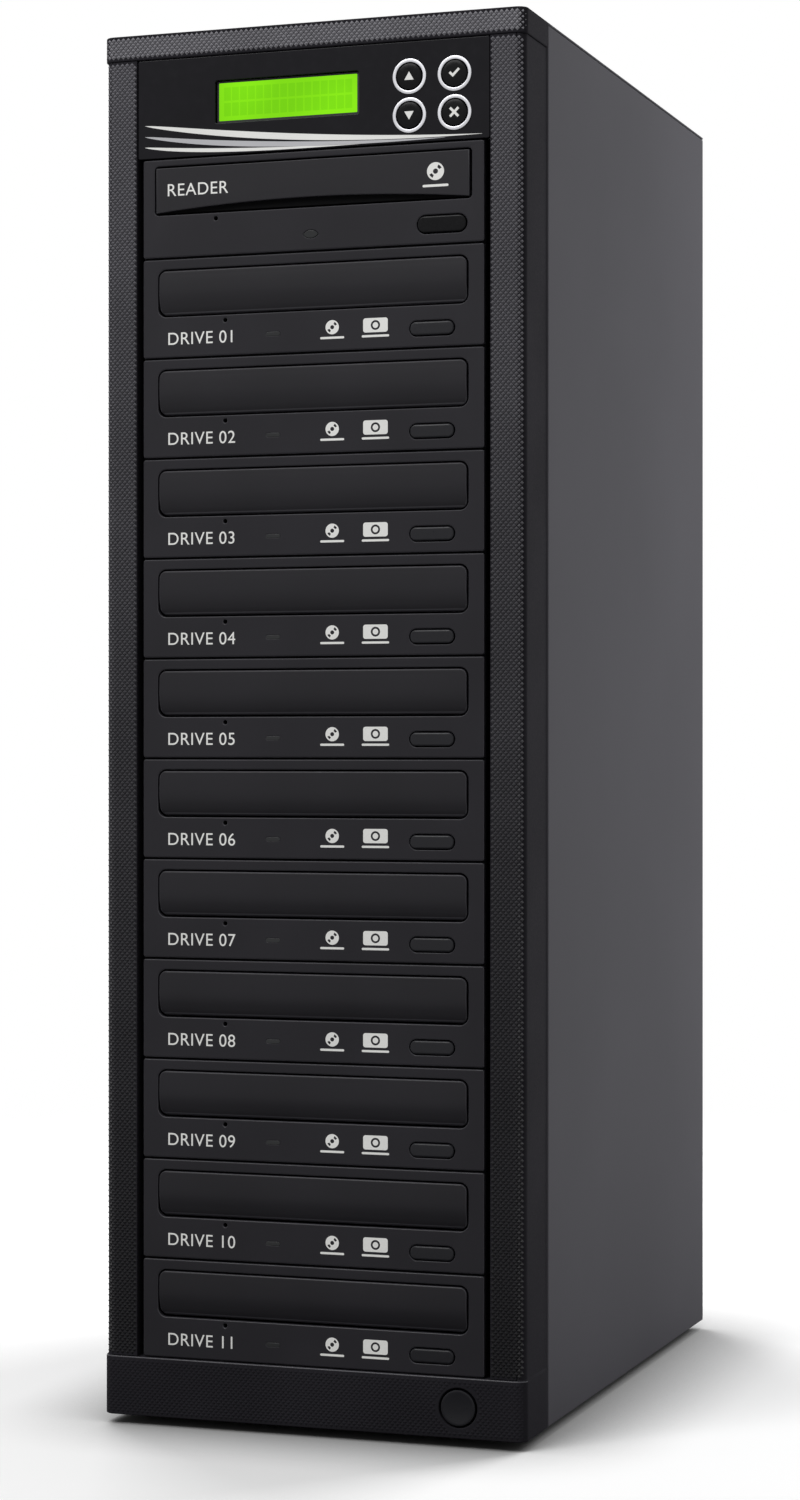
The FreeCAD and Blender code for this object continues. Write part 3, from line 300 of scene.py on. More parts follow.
@dataclass(frozen=True)
class PlatedMetal(Finish):
    """Plated metal: bright zinc shows faint flow marks, nickel and chrome hardly any."""

    flow: float = 6.0
    change: float = 0.12
    dulling: Pair = (0.85, 1.2)

    def dress(self, tree: Any, shader: Any) -> None:
        """Add the flow marks of the plating to the gloss and the tone.

        Args:
            tree: node tree of the material.
            shader: its Principled shader.
        """
        place = add_node(tree, "ShaderNodeTexCoord").outputs["Object"]
        flow = add_node(tree, "ShaderNodeTexNoise", {
            "Vector": place, "Scale": 1.0 / (self.flow * MM), "Detail": 4.0, "Distortion": 0.6})
        colour = self.varied(tree, flow.outputs["Fac"], NOISE_SPAN, (1.0 - self.change, 1.0))
        dull = add_node(tree, "ShaderNodeMapRange", {
            "Value": flow.outputs["Fac"], "From Min": NOISE_SPAN[0], "From Max": NOISE_SPAN[1],
            "To Min": self.roughness * self.dulling[0], "To Max": self.roughness * self.dulling[1]})
        tree.links.new(colour, shader.inputs["Base Color"])
        tree.links.new(dull.outputs[0], shader.inputs["Roughness"])
        shader.inputs["Metallic"].default_value = 1.0


@dataclass(frozen=True)
class LitGlass(Finish):
    """Backlit display glass: the light panel behind it is a little uneven along the display."""

    strength: float = 1.0
    drift: float = 26.0
    dimmest: float = 0.86
    unlit: str = "#0a1402"
    gloss: float = 0.06

    def dress(self, tree: Any, shader: Any) -> None:
        """Add the backlight and the dark glass in front of it.

        Args:
            tree: node tree of the material.
            shader: its Principled shader.
        """
        place = add_node(tree, "ShaderNodeTexCoord").outputs["Object"]
        drift = add_node(tree, "ShaderNodeTexNoise", {
            "Vector": place, "Scale": 1.0 / (self.drift * MM), "Detail": 0.0})
        glow = self.varied(tree, drift.outputs["Fac"], NOISE_SPAN, (self.dimmest, 1.0))
        tree.links.new(glow, shader.inputs["Emission Color"])
        shader.inputs["Emission Strength"].default_value = self.strength
        shader.inputs["Base Color"].default_value = linear(self.unlit)
        shader.inputs["Specular IOR Level"].default_value = self.gloss


@dataclass(frozen=True)
class FadingFloor(Finish):
    """Matt white floor that carries the shadow, with a painted shadow along the object's foot, and fades into
    the white room away from the object.
    """

    near: float = 300.0
    far: float = 1100.0
    lift: float = 1.1
    bounce: float = 0.42
    # Painted shadow along the foot: its reach, the span of openness it covers, and its darkest level
    nook: float = 60.0
    nook_open: Pair = (0.4, 1.0)
    nook_shade: float = 0.3

    def dress(self, tree: Any, shader: Any) -> None:
        """Fade the floor away from the object, lift it for the camera and paint a shadow along the foot,
        darker where the object is near.

        Args:
            tree: node tree of the material.
            shader: its Principled shader, which goes.
        """
        place = add_node(tree, "ShaderNodeTexCoord").outputs["Object"]
        away = add_node(tree, "ShaderNodeVectorMath", {0: place}, operation="LENGTH")
        fade = add_node(tree, "ShaderNodeMapRange", {
            "Value": away.outputs["Value"], "From Min": self.near * MM, "From Max": self.far * MM},
            interpolation_type="SMOOTHSTEP")
        path = add_node(tree, "ShaderNodeLightPath")
        level = add_node(tree, "ShaderNodeMapRange", {
            "Value": path.outputs["Is Camera Ray"], "To Min": self.bounce, "To Max": self.lift})
        # Painted shadow: the floor is darkened where the object is near
        near = add_node(tree, "ShaderNodeAmbientOcclusion", {"Distance": self.nook * MM}, samples=16)
        shade = add_node(tree, "ShaderNodeMapRange", {
            "Value": near.outputs["AO"], "From Min": self.nook_open[0], "From Max": self.nook_open[1],
            "To Min": self.nook_shade, "To Max": 1.0})
        colour = add_node(tree, "ShaderNodeMath", {
            0: level.outputs[0], 1: shade.outputs[0]}, operation="MULTIPLY")
        matt = add_node(tree, "ShaderNodeBsdfDiffuse", {"Color": colour.outputs[0]})
        clear = add_node(tree, "ShaderNodeBsdfTransparent")
        mixed = add_node(tree, "ShaderNodeMixShader", {
            0: fade.outputs[0], 1: matt.outputs[0], 2: clear.outputs[0]})
        output = next(n for n in tree.nodes if n.type == "OUTPUT_MATERIAL")
        tree.links.new(mixed.outputs[0], output.inputs[0])
        tree.nodes.remove(shader)


# Mould-grained ABS of the tower's front: deep black-grey with a soft, broken gloss
BEZEL_ABS = MouldedPlastic("moulded_abs_bezel", "#28272b", 0.6, grain=0.7, height=0.05, gloss=0.015)
# Knurled ABS of the strips: ridges painted pale, partly a painted highlight for the light that they catch,
# with painted shade darker towards the foot
RELIEF_ABS = PaintedShadePlastic("moulded_abs_relief_painted_shade", "#6c6b70", 0.45, grain=0.9, height=0.01, gloss=0.14)
# The same relief on the cap, painted paler still all along: a painted highlight, as the cap is nearest to the
# light
CAP_ABS = MouldedPlastic("moulded_abs_cap_painted_light", "#858489", 0.45, grain=0.9, height=0.01, gloss=0.14)
# ABS of the drives' own fronts: a finer grain, so a smoother satin black
DRIVE_ABS = MouldedPlastic("moulded_abs_drive", "#252428", 0.5, grain=0.5, height=0.02, gloss=0.14)
# ABS of the tray doors: darker and glossier than the fronts round them
DOOR_ABS = MouldedPlastic("moulded_abs_door", "#1e1d21", 0.4, grain=0.5, height=0.012, gloss=0.18)
# ABS of the tray plates, left as moulded: dull and dark
TRAY_ABS = MouldedPlastic("moulded_abs_tray", "#1a1a1d", 0.6, grain=0.8, height=0.03, gloss=0.2)
# Painted shade: ABS deep in the gaps and the finger recess painted nearly black, where hardly any light comes
# back
GAP_SHADE_ABS = MouldedPlastic("painted_shade_abs_recess", "#080809", 0.7, grain=0.8, height=0.02, gloss=0.05)
# ABS with a painted highlight along the rounded edges of the drives' mouldings and doors and the top of the
# base: a fine light line
EDGE_HIGHLIGHT_ABS = MouldedPlastic("painted_highlight_abs_edge", "#3d3c41", 0.35, grain=0.5, height=0.005, gloss=0.3)
# ABS of the buttons, polished more than what surrounds them: a small clear highlight
BUTTON_ABS = MouldedPlastic("moulded_abs_button", "#1b1b1f", 0.34, grain=1.2, height=0.008, gloss=0.2)
# ABS of the keys and the reader's button, polished further: nearly black with a sharp highlight
DARK_BUTTON_ABS = MouldedPlastic("polished_abs_button", "#0c0c0e", 0.25, grain=1.2, height=0.005, gloss=0.1)
# Acrylic-faced fascia, printed black behind its gloss: mirrors the room faintly
FASCIA_ACRYLIC = MouldedPlastic("gloss_acrylic_fascia", "#111015", 0.16, grain=4.0, height=0.004, gloss=0.14)
# Glass-filled PBT of the fans: satin black, its fibres show as a fine fleck
FAN_PBT = MouldedPlastic("glass_filled_pbt_fan", "#18181a", 0.45, grain=0.8, height=0.02)
# Nylon of the mains inlet, the switch and the display's frame: plain satin black
INLET_NYLON = MouldedPlastic("moulded_nylon_inlet", "#141416", 0.5, grain=0.6, height=0.02)
# Rubber of the feet: matt black with no highlight
FOOT_RUBBER = MouldedPlastic("moulded_rubber_foot", "#101010", 0.85, grain=0.8, height=0.05, gloss=0.15)
# PVC of the wiring, drawn smooth: soft black
CABLE_PVC = MouldedPlastic("extruded_pvc_cable", "#1a1a1e", 0.5, grain=2.0, height=0.02)
# Board laminate under solder mask: even green with a wet gloss
BOARD_LAMINATE = MouldedPlastic("solder_masked_laminate", "#0f4a26", 0.35, grain=1.5, height=0.02)
# Smoked acrylic of the drives' lamps, unlit: dark grey and glassy
LENS_ACRYLIC = MouldedPlastic("smoked_acrylic_lens", "#2e2f30", 0.2, grain=2.0, height=0.004, gloss=0.18)
# Screen-printed ink, flat and dull on the mouldings: an even off-white
INK_LIGHT = MouldedPlastic("screen_ink_light", "#f4f4f1", 0.6, grain=0.4, height=0.004, mottle=0.04)
# Screen-printed ink with metal flake: greyer, with a slight sheen
INK_SILVER = MouldedPlastic(
    "screen_ink_silver", "#bcbcc0", 0.35, grain=0.3, height=0.006, gloss=0.6, mottle=0.06)
# Powder-coated steel of the side panels and the lid: dark grey with a fine fleck and a soft sheen
PANEL_COAT = PowderCoat("powder_coated_steel", "#504f54", 0.55)
# The same coat on the rear panel: a shade darker
REAR_COAT = PowderCoat("powder_coated_rear", "#444348", 0.55)
# Zinc-plated steel of the frame inside and the supply's case: pale grey with faint flow marks
ZINC_STEEL = PlatedMetal("zinc_plated_steel", "#b4b7ba", 0.38)
# Nickel-plated wire of the finger guards: bright and smooth
NICKEL_WIRE = PlatedMetal("nickel_plated_wire", "#c9c7c2", 0.18, flow=12.0, change=0.05)
# Satin chrome of the rings round the keys: silver with a broad highlight
CHROME_RING = PlatedMetal("satin_chrome_ring", "#bebec2", 0.3, flow=10.0, change=0.04)
# Nickel-plated brass of the inlet's pins: bright with a touch of yellow
PIN_METAL = PlatedMetal("nickel_plated_brass_pin", "#c8bd9c", 0.25, flow=8.0, change=0.05)
# Zinc-plated screw heads: greyer and more mottled than the sheets
SCREW_STEEL = PlatedMetal("zinc_plated_screw", "#a3a5a8", 0.3, flow=3.0, change=0.2)
# Backlit display glass: glows a yellowish green
LCD_GLOW = LitGlass("backlit_display_glass", "#88ea10", 0.3)
# Character cells of the display: a little deeper green than the glass between them
LCD_CELL = LitGlass("backlit_display_cell", "#7ddf0c", 0.3)
# Matt white paint of the set's floor: takes a soft shadow and a painted shadow along the foot, and shows no
# edge
FLOOR_PAINT = FadingFloor("matt_white_floor", "#f4f4f4", 0.9)


# Outlines


def at(x: float, depth: float, z: float) -> Vector:
    """Point in metres from millimetres across, behind the front plane and above the floor."""
    return Vector((x * MM, FRONT_Y + depth * MM, z * MM))


def arc(radius: float, start: float, end: float, steps: int, centre: Pair = (0, 0)) -> Outline:
    """Points along an arc.

    Args:
        radius: radius of the arc.
        start: first angle in degrees.
        end: last angle in degrees.
        steps: number of chords.
        centre: middle of the arc.

    Returns:
        The arc's points, both ends included.
    """
    turns = [math.radians(start + (end - start) * i / steps) for i in range(steps + 1)]
    return [(centre[0] + radius * math.cos(t), centre[1] + radius * math.sin(t)) for t in turns]


def circle(radius: float, x: float, z: float, steps: int = 48) -> Outline:
    """Closed round outline about a centre."""
    return arc(radius, 0, 360 - 360 / steps, steps - 1, (x, z))


def rounded(width: float, height: float, radius: float, x: float, z: float, steps: int = 6) -> Outline:
    """Closed rectangle with rounded corners.

    Args:
        width: size across.
        height: size upwards.
        radius: corner radius.
        x: middle across.
        z: middle upwards.
        steps: chords in each corner.

    Returns:
        The outline, anticlockwise.
    """
    a, b = width / 2 - radius, height / 2 - radius
    corners = [(a, b, 0), (-a, b, 90), (-a, -b, 180), (a, -b, 270)]
    points: Outline = []
    for u, v, turn in corners:
        points += arc(radius, turn, turn + 90, steps, (x + u, z + v))
    return points


def cross(reach: float, half: float, start: float = 0.0) -> Outline:
    """Closed cross of four equal arms about the origin.

    Args:
        reach: length of an arm from the middle.
        half: half the width of an arm.
        start: angle of the first arm in degrees.

    Returns:
        The outline, anticlockwise.
    """
    points: Outline = []
    for i in range(4):
        turn = math.radians(start + 90 * i)
        c, s = math.cos(turn), math.sin(turn)
        points += [(reach * c + half * s, reach * s - half * c),
                   (reach * c - half * s, reach * s + half * c),
                   (half * c - half * s, half * s + half * c)]
    return points


# Mesh tools


def baked(obj: bpy.types.Object) -> bpy.types.Mesh:
    """Turn an object and its modifiers into a plain mesh, and remove the object.

    Args:
        obj: object of any kind that can become a mesh.

    Returns:
        The mesh, in the object's own coordinates.
    """
    bpy.context.scene.collection.objects.link(obj)
    graph = bpy.context.evaluated_depsgraph_get()
    mesh = bpy.data.meshes.new_from_object(obj.evaluated_get(graph), depsgraph=graph)
    bpy.data.objects.remove(obj)
    return mesh


def finished(shape: bmesh.types.BMesh) -> bpy.types.Mesh:
    """Write a bmesh to a new mesh and free it.

    Args:
        shape: bmesh to use up.

    Returns:
        The mesh.
    """
    mesh = bpy.data.meshes.new("mesh")
    shape.to_mesh(mesh)
    shape.free()
    return mesh


def welded(mesh: bpy.types.Mesh) -> bpy.types.Mesh:
    """Merge the points of a mesh that lie on each other, so that its shells are closed.

    Args:
        mesh: mesh to change.

    Returns:
        The same mesh.
    """
    shape = bmesh.new()
    shape.from_mesh(mesh)
    bmesh.ops.remove_doubles(shape, verts=shape.verts, dist=WELD)
    shape.to_mesh(mesh)
    shape.free()
    return mesh


def plate(outlines: Sequence[Sequence[Pair]], depth: Pair, edge: float = 0.0,
          facing: Facing = Facing.FRONT) -> bpy.types.Mesh:
    """Flat plate from an outer outline and the holes in it, with rounded edges.

    Args:
        outlines: outer outline first, then the holes.
        depth: where the plate starts and ends, behind the front plane or above the floor.
        edge: radius of the rounded edges.
        facing: whether the outlines are drawn as seen from the front or from above.

    Returns:
        The plate's mesh in place.
    """
    curve = bpy.data.curves.new("outline", "CURVE")
    curve.dimensions = "2D"
    curve.fill_mode = "BOTH"
    curve.extrude = ((depth[1] - depth[0]) / 2 - edge) * MM
    curve.bevel_depth = edge * MM
    curve.bevel_resolution = 2
    curve.offset = -edge * MM
    for number, outline in enumerate(outlines):
        spline = curve.splines.new("POLY")
        spline.points.add(len(outline) - 1)
        points = outline if number == 0 else list(reversed(outline))
        for point, (u, v) in zip(spline.points, points):
            point.co = (u * MM, v * MM, 0.0, 1.0)
        spline.use_cyclic_u = True
    mesh = welded(baked(bpy.data.objects.new("outline", curve)))
    middle = (depth[0] + depth[1]) / 2
    if facing is Facing.FRONT:
        mesh.transform(Matrix.Translation(at(0, middle, 0)) @ Matrix.Rotation(math.pi / 2, 4, "X"))
    else:
        mesh.transform(Matrix.Translation(Vector((0, FRONT_Y, middle * MM))))
    return mesh


def lathe(profile: Sequence[Pair], x: float, z: float, steps: int = 48,
          closed: bool = False) -> bpy.types.Mesh:
    """Solid of revolution about a line that runs backwards.

    Args:
        profile: (radius, depth) points from the front to the back, or round a ring's section.
        x: axis across.
        z: axis height.
        steps: number of sides.
        closed: whether the profile closes on itself, which makes a ring.

    Returns:
        The closed mesh.
    """
    shape = bmesh.new()
    turns = [2 * math.pi * i / steps for i in range(steps)]
    rings = []
    for radius, depth in profile:
        places = [at(x + radius * math.cos(t), depth, z + radius * math.sin(t)) for t in turns]
        if radius <= 0:
            places = [at(x, depth, z)]
        rings.append([shape.verts.new(place) for place in places])
    following = rings[1:] + rings[:1] if closed else rings[1:]
    for first, second in zip(rings, following):
        for i in range(steps):
            j = (i + 1) % steps
            corners = [first[i % len(first)], second[i % len(second)],
                       second[j % len(second)], first[j % len(first)]]
            shape.faces.new(list(dict.fromkeys(corners)))
    for ring in (rings[0], rings[-1]):
        if len(ring) > 1 and not closed:
            shape.faces.new(ring)
    bmesh.ops.recalc_face_normals(shape, faces=shape.faces)
    return finished(shape)


def rod(thickness: float, length: float, turn: float) -> bpy.types.Mesh:
    """Round wire across the origin, just in front of the origin's plane.

    Args:
        thickness: diameter of the wire.
        length: length of the wire.
        turn: angle from level in degrees.

    Returns:
        The wire's mesh.
    """
    shape = bmesh.new()
    half = thickness / 2 * MM
    bmesh.ops.create_cone(
        shape, cap_ends=True, segments=WIRE_SIDES, radius1=half, radius2=half, depth=length * MM)
    mesh = finished(shape)
    place = Matrix.Translation((0, -thickness * MM, 0)) @ Matrix.Rotation(math.radians(-turn), 4, "Y")
    mesh.transform(place @ Matrix.Rotation(math.pi / 2, 4, "Y"))
    return mesh


def eye_ring(thickness: float, radius: float, x: float, z: float, steps: int = 28) -> bpy.types.Mesh:
    """Eye bent from wire round a screw, beside the origin.

    Args:
        thickness: diameter of the wire.
        radius: radius of the eye.
        x: its place across.
        z: its place upwards.
        steps: number of sides.

    Returns:
        The eye's mesh.
    """
    section = circle(thickness / 2, radius, -thickness, WIRE_SIDES)
    mesh = lathe(section, x, z, steps, closed=True)
    mesh.transform(Matrix.Translation((0, -FRONT_Y, 0)))
    return mesh


def joined(meshes: Sequence[bpy.types.Mesh]) -> bpy.types.Mesh:
    """One mesh out of several.

    Args:
        meshes: meshes to use up.

    Returns:
        The mesh, with no finish.
    """
    shape = bmesh.new()
    for mesh in meshes:
        shape.from_mesh(mesh)
        bpy.data.meshes.remove(mesh)
    return finished(shape)


def raised(mesh: bpy.types.Mesh, rise: float) -> bpy.types.Mesh:
    """Copy of a mesh at another height.

    Args:
        mesh: mesh to copy.
        rise: how much higher the copy is.

    Returns:
        The copy.
    """
    copy = mesh.copy()
    copy.transform(Matrix.Translation(Vector((0, 0, rise)) * MM))
    return copy


def softened(mesh: bpy.types.Mesh, width: float, segments: int = 2, angle: float = 35.0,
             thin: bool = False) -> bpy.types.Mesh:
    """Round the sharp edges of a mesh.

    Args:
        mesh: mesh to use up.
        width: width of the rounding.
        segments: faces across it.
        angle: edges sharper than this many degrees are rounded.
        thin: whether the mesh is a sheet, whose thickness limits the rounding.

    Returns:
        The rounded mesh.
    """
    obj = bpy.data.objects.new("soften", mesh)
    bevel = obj.modifiers.new("edges", "BEVEL")
    bevel.width = width * MM
    bevel.segments = segments
    bevel.limit_method = "ANGLE"
    bevel.angle_limit = math.radians(angle)
    bevel.miter_outer = "MITER_ARC"
    bevel.loop_slide = False
    bevel.use_clamp_overlap = thin
    return baked(obj)


def cut(mesh: bpy.types.Mesh, cutters: Sequence[bpy.types.Mesh]) -> bpy.types.Mesh:
    """Cut closed meshes out of a closed mesh.

    Args:
        mesh: mesh to use up.
        cutters: meshes to take away from it, which are used up too.

    Returns:
        What is left, as one closed mesh.
    """
    for cutter in cutters:
        tool = bpy.data.objects.new("cutter", cutter)
        bpy.context.scene.collection.objects.link(tool)
        obj = bpy.data.objects.new("body", mesh)
        taken = obj.modifiers.new("taken", "BOOLEAN")
        taken.operation = "DIFFERENCE"
        taken.solver = "EXACT"
        taken.object = tool
        mesh = baked(obj)
        bpy.data.objects.remove(tool)
    return mesh


def node_copy(node: str, whole: bool = True, flat: float = 0.5) -> bmesh.types.BMesh:
    """Merged copy of a node's mesh.

    Args:
        node: node to copy.
        whole: whether its flat faces are made whole again, which suits faces without openings.
        flat: angle in degrees up to which neighbouring triangles count as one flat face.

    Returns:
        The copy.
    """
    shape = bmesh.new()
    shape.from_mesh(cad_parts[node].data)
    bmesh.ops.remove_doubles(shape, verts=shape.verts, dist=WELD)
    if whole:
        bmesh.ops.dissolve_limit(
            shape, angle_limit=math.radians(flat), verts=shape.verts, edges=shape.edges,
            use_dissolve_boundaries=False)
    return shape


def give(mesh: bpy.types.Mesh, finishes: Sequence[Finish]) -> None:
    """Give a mesh its finishes, with every face in the first.

    Args:
        mesh: mesh to dress.
        finishes: finishes in the order of its slots.
    """
    mesh.materials.clear()
    for finish in finishes:
        mesh.materials.append(finish.material())


def paint_edge_light_and_gap_shade(mesh: bpy.types.Mesh, finish: Finish, inside: float = 100.0) -> bpy.types.Mesh:
    """Paint a highlight on the narrow rounded edges round a front, and paint shade on its faces deep in the
    gaps.

    Args:
        mesh: mesh of a piece that faces the front.
        finish: finish of the rest.
        inside: depth from which faces get painted shade, as no light comes back out of the gaps.

    Returns:
        The same mesh.
    """
    give(mesh, (finish, EDGE_HIGHLIGHT_ABS, GAP_SHADE_ABS))
    for face in mesh.polygons:
        # Painted highlight on narrow rounded edges, painted shade on faces deep in the gaps
        narrow = face.area < EDGE_AREA * MM * MM and EDGE_TILT[0] < -face.normal.y < EDGE_TILT[1]
        deep = face.center.y > FRONT_Y + inside * MM
        face.material_index = 2 if deep else 1 if narrow else 0
    return mesh


def piece(name: str, mesh: bpy.types.Mesh, finish: Finish, body: str, nodes: Sequence[str] = (),
          smooth: float = 35.0) -> bpy.types.Object:
    """Put a finished mesh on its body as a piece.

    Args:
        name: name of the piece.
        mesh: its mesh, in place.
        finish: its finish, unless the mesh has finishes already.
        body: body that it rides on.
        nodes: nodes that it stands for.
        smooth: angle in degrees below which edges are shaded smooth.

    Returns:
        The piece.
    """
    mesh.shade_smooth()
    mesh.set_sharp_from_angle(angle=math.radians(smooth))
    if not any(mesh.materials):
        give(mesh, (finish,))
    rough = bpy.data.objects.new(name, mesh)
    normals = rough.modifiers.new("flat_faces", "WEIGHTED_NORMAL")
    normals.keep_sharp = True
    mesh = baked(rough)
    mesh.name = name
    obj = bpy.data.objects.new(name, mesh)
    bpy.context.scene.collection.objects.link(obj)
    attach(obj, body)
    if nodes:
        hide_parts(*nodes)
    LOG.info("%s on %s: %d faces", name, body, len(mesh.polygons))
    return obj


def dress_node(node: str, finish: Finish) -> None:
    """Give a node that stays as it is a better finish."""
    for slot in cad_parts[node].material_slots:
        slot.material = finish.material()


# Node trees for what repeats


def new_tree(name: str, sockets: dict[str, str]) -> tuple[Any, Any]:
    """Start a geometry tree with named inputs.

    Args:
        name: name of the tree.
        sockets: input name to socket type, in order.

    Returns:
        The tree and its input node.
    """
    tree = bpy.data.node_groups.new(name, "GeometryNodeTree")
    tree.interface.new_socket("Geometry", in_out="OUTPUT", socket_type="NodeSocketGeometry")
    for label, kind in sockets.items():
        tree.interface.new_socket(label, in_out="INPUT", socket_type=kind)
    return tree, tree.nodes.new("NodeGroupInput")


def end_tree(tree: Any, source: Any, instances: Any) -> None:
    """End a tree by making its instances real and giving them their material.

    Args:
        tree: the tree.
        source: its input node, with a Material output.
        instances: socket of the instances.
    """
    real = add_node(tree, "GeometryNodeRealizeInstances", {0: instances})
    dressed = add_node(tree, "GeometryNodeSetMaterial", {
        "Geometry": real.outputs[0], "Material": source.outputs["Material"]})
    add_node(tree, "NodeGroupOutput", {0: dressed.outputs[0]})


def grown(tree: Any, part: bpy.types.Mesh, values: dict[str, Any]) -> bpy.types.Mesh:
    """Run a geometry tree on a part and return the plain mesh.

    Args:
        tree: the tree, whose first input is the part.
        part: mesh that the tree repeats.
        values: input name to value.

    Returns:
        The mesh that the tree makes, without the empty slot that a part with no finish leaves.
    """
    obj = bpy.data.objects.new("grown", part)
    modifier = obj.modifiers.new("pattern", "NODES")
    modifier.node_group = tree
    for item in tree.interface.items_tree:
        if item.in_out == "INPUT" and item.name in values:
            modifier[item.identifier] = values[item.name]
    mesh = baked(obj)
    if mesh.materials[0] is None:
        mesh.materials.pop(index=0)
    return mesh


def row_tree() -> Any:
    """Tree that repeats a part along a straight line.

    Returns:
        The tree.
    """
    tree, source = new_tree("row", {
        "Part": "NodeSocketGeometry", "Count": "NodeSocketInt", "Step": "NodeSocketVector",
        "Material": "NodeSocketMaterial"})
    line = add_node(tree, "GeometryNodeMeshLine", {
        "Count": source.outputs["Count"], "Offset": source.outputs["Step"]}, mode="OFFSET")
    copies = add_node(tree, "GeometryNodeInstanceOnPoints", {
        "Points": line.outputs[0], "Instance": source.outputs["Part"]})
    end_tree(tree, source, copies.outputs[0])
    return tree


def relief_tree() -> Any:
    """Tree that sets studs in staggered rows on an upright field with bent ends, clear of a round spot.

    Returns:
        The tree.
    """
    tree, source = new_tree("relief", {
        "Stud": "NodeSocketGeometry", "Columns": "NodeSocketInt", "Rows": "NodeSocketInt",
        "Pitch": "NodeSocketFloat", "Row Pitch": "NodeSocketFloat", "Flat From": "NodeSocketFloat",
        "Flat To": "NodeSocketFloat", "Bend Radius": "NodeSocketFloat", "Spot": "NodeSocketVector",
        "Spot Radius": "NodeSocketFloat", "Material": "NodeSocketMaterial"})
    pitch = source.outputs["Pitch"]
    row_pitch = source.outputs["Row Pitch"]
    bend = source.outputs["Bend Radius"]
    # Flat field of points
    across = add_node(tree, "ShaderNodeMath", {0: source.outputs["Columns"], 1: 1.0}, operation="SUBTRACT")
    wide = add_node(tree, "ShaderNodeMath", {0: across.outputs[0], 1: pitch}, operation="MULTIPLY")
    upwards = add_node(tree, "ShaderNodeMath", {0: source.outputs["Rows"], 1: 1.0}, operation="SUBTRACT")
    high = add_node(tree, "ShaderNodeMath", {0: upwards.outputs[0], 1: row_pitch}, operation="MULTIPLY")
    grid = add_node(tree, "GeometryNodeMeshGrid", {
        "Size X": wide.outputs[0], "Size Y": high.outputs[0], "Vertices X": source.outputs["Columns"],
        "Vertices Y": source.outputs["Rows"]})
    # Rows shifted by a quarter of a pitch, in turn to the left and to the right
    where = add_node(tree, "GeometryNodeInputPosition")
    split = add_node(tree, "ShaderNodeSeparateXYZ", {0: where.outputs[0]})
    low = add_node(tree, "ShaderNodeMath", {0: high.outputs[0], 1: 0.5}, operation="MULTIPLY")
    rise = add_node(tree, "ShaderNodeMath", {0: split.outputs["Y"], 1: low.outputs[0]}, operation="ADD")
    rows = add_node(tree, "ShaderNodeMath", {0: rise.outputs[0], 1: row_pitch}, operation="DIVIDE")
    row = add_node(tree, "ShaderNodeMath", {0: rows.outputs[0]}, operation="ROUND")
    odd = add_node(tree, "ShaderNodeMath", {0: row.outputs[0], 1: 2.0}, operation="MODULO")
    share = add_node(tree, "ShaderNodeMath", {0: odd.outputs[0], 1: 0.5, 2: -0.25}, operation="MULTIPLY_ADD")
    shift = add_node(tree, "ShaderNodeMath", {0: share.outputs[0], 1: pitch}, operation="MULTIPLY")
    push = add_node(tree, "ShaderNodeCombineXYZ", {"X": shift.outputs[0]})
    staggered = add_node(tree, "GeometryNodeSetPosition", {
        "Geometry": grid.outputs[0], "Offset": push.outputs[0]})
    upright = add_node(tree, "GeometryNodeTransform", {
        "Geometry": staggered.outputs[0], "Rotation": (math.pi / 2, 0.0, 0.0)})
    # Clear spot
    away = add_node(tree, "ShaderNodeVectorMath", {
        0: where.outputs[0], 1: source.outputs["Spot"]}, operation="DISTANCE")
    inside = add_node(tree, "FunctionNodeCompare", {
        0: away.outputs["Value"], 1: source.outputs["Spot Radius"]}, operation="LESS_THAN")
    kept = add_node(tree, "GeometryNodeDeleteGeometry", {
        0: upright.outputs[0], 1: inside.outputs[0]}, domain="POINT")
    # Studs, turned past the flat part by as much as the ends are bent backwards there
    level = add_node(tree, "ShaderNodeClamp", {
        "Value": split.outputs["X"], "Min": source.outputs["Flat From"], "Max": source.outputs["Flat To"]})
    past = add_node(tree, "ShaderNodeMath", {
        0: split.outputs["X"], 1: level.outputs[0]}, operation="SUBTRACT")
    turn = add_node(tree, "ShaderNodeMath", {0: past.outputs[0], 1: bend}, operation="DIVIDE")
    facing = add_node(tree, "ShaderNodeCombineXYZ", {"Z": turn.outputs[0]})
    rotation = add_node(tree, "FunctionNodeEulerToRotation", {0: facing.outputs[0]})
    studs = add_node(tree, "GeometryNodeInstanceOnPoints", {
        "Points": kept.outputs[0], "Instance": source.outputs["Stud"], "Rotation": rotation.outputs[0]})
    sine = add_node(tree, "ShaderNodeMath", {0: turn.outputs[0]}, operation="SINE")
    side = add_node(tree, "ShaderNodeMath", {
        0: sine.outputs[0], 1: bend, 2: level.outputs[0]}, operation="MULTIPLY_ADD")
    cosine = add_node(tree, "ShaderNodeMath", {0: turn.outputs[0]}, operation="COSINE")
    ahead = add_node(tree, "ShaderNodeMath", {0: cosine.outputs[0], 1: bend}, operation="MULTIPLY")
    behind = add_node(tree, "ShaderNodeMath", {0: bend, 1: ahead.outputs[0]}, operation="SUBTRACT")
    place = add_node(tree, "ShaderNodeCombineXYZ", {
        "X": side.outputs[0], "Y": behind.outputs[0], "Z": split.outputs["Z"]})
    bent = add_node(tree, "GeometryNodeSetPosition", {
        "Geometry": studs.outputs[0], "Position": place.outputs[0]})
    end_tree(tree, source, bent.outputs[0])
    return tree


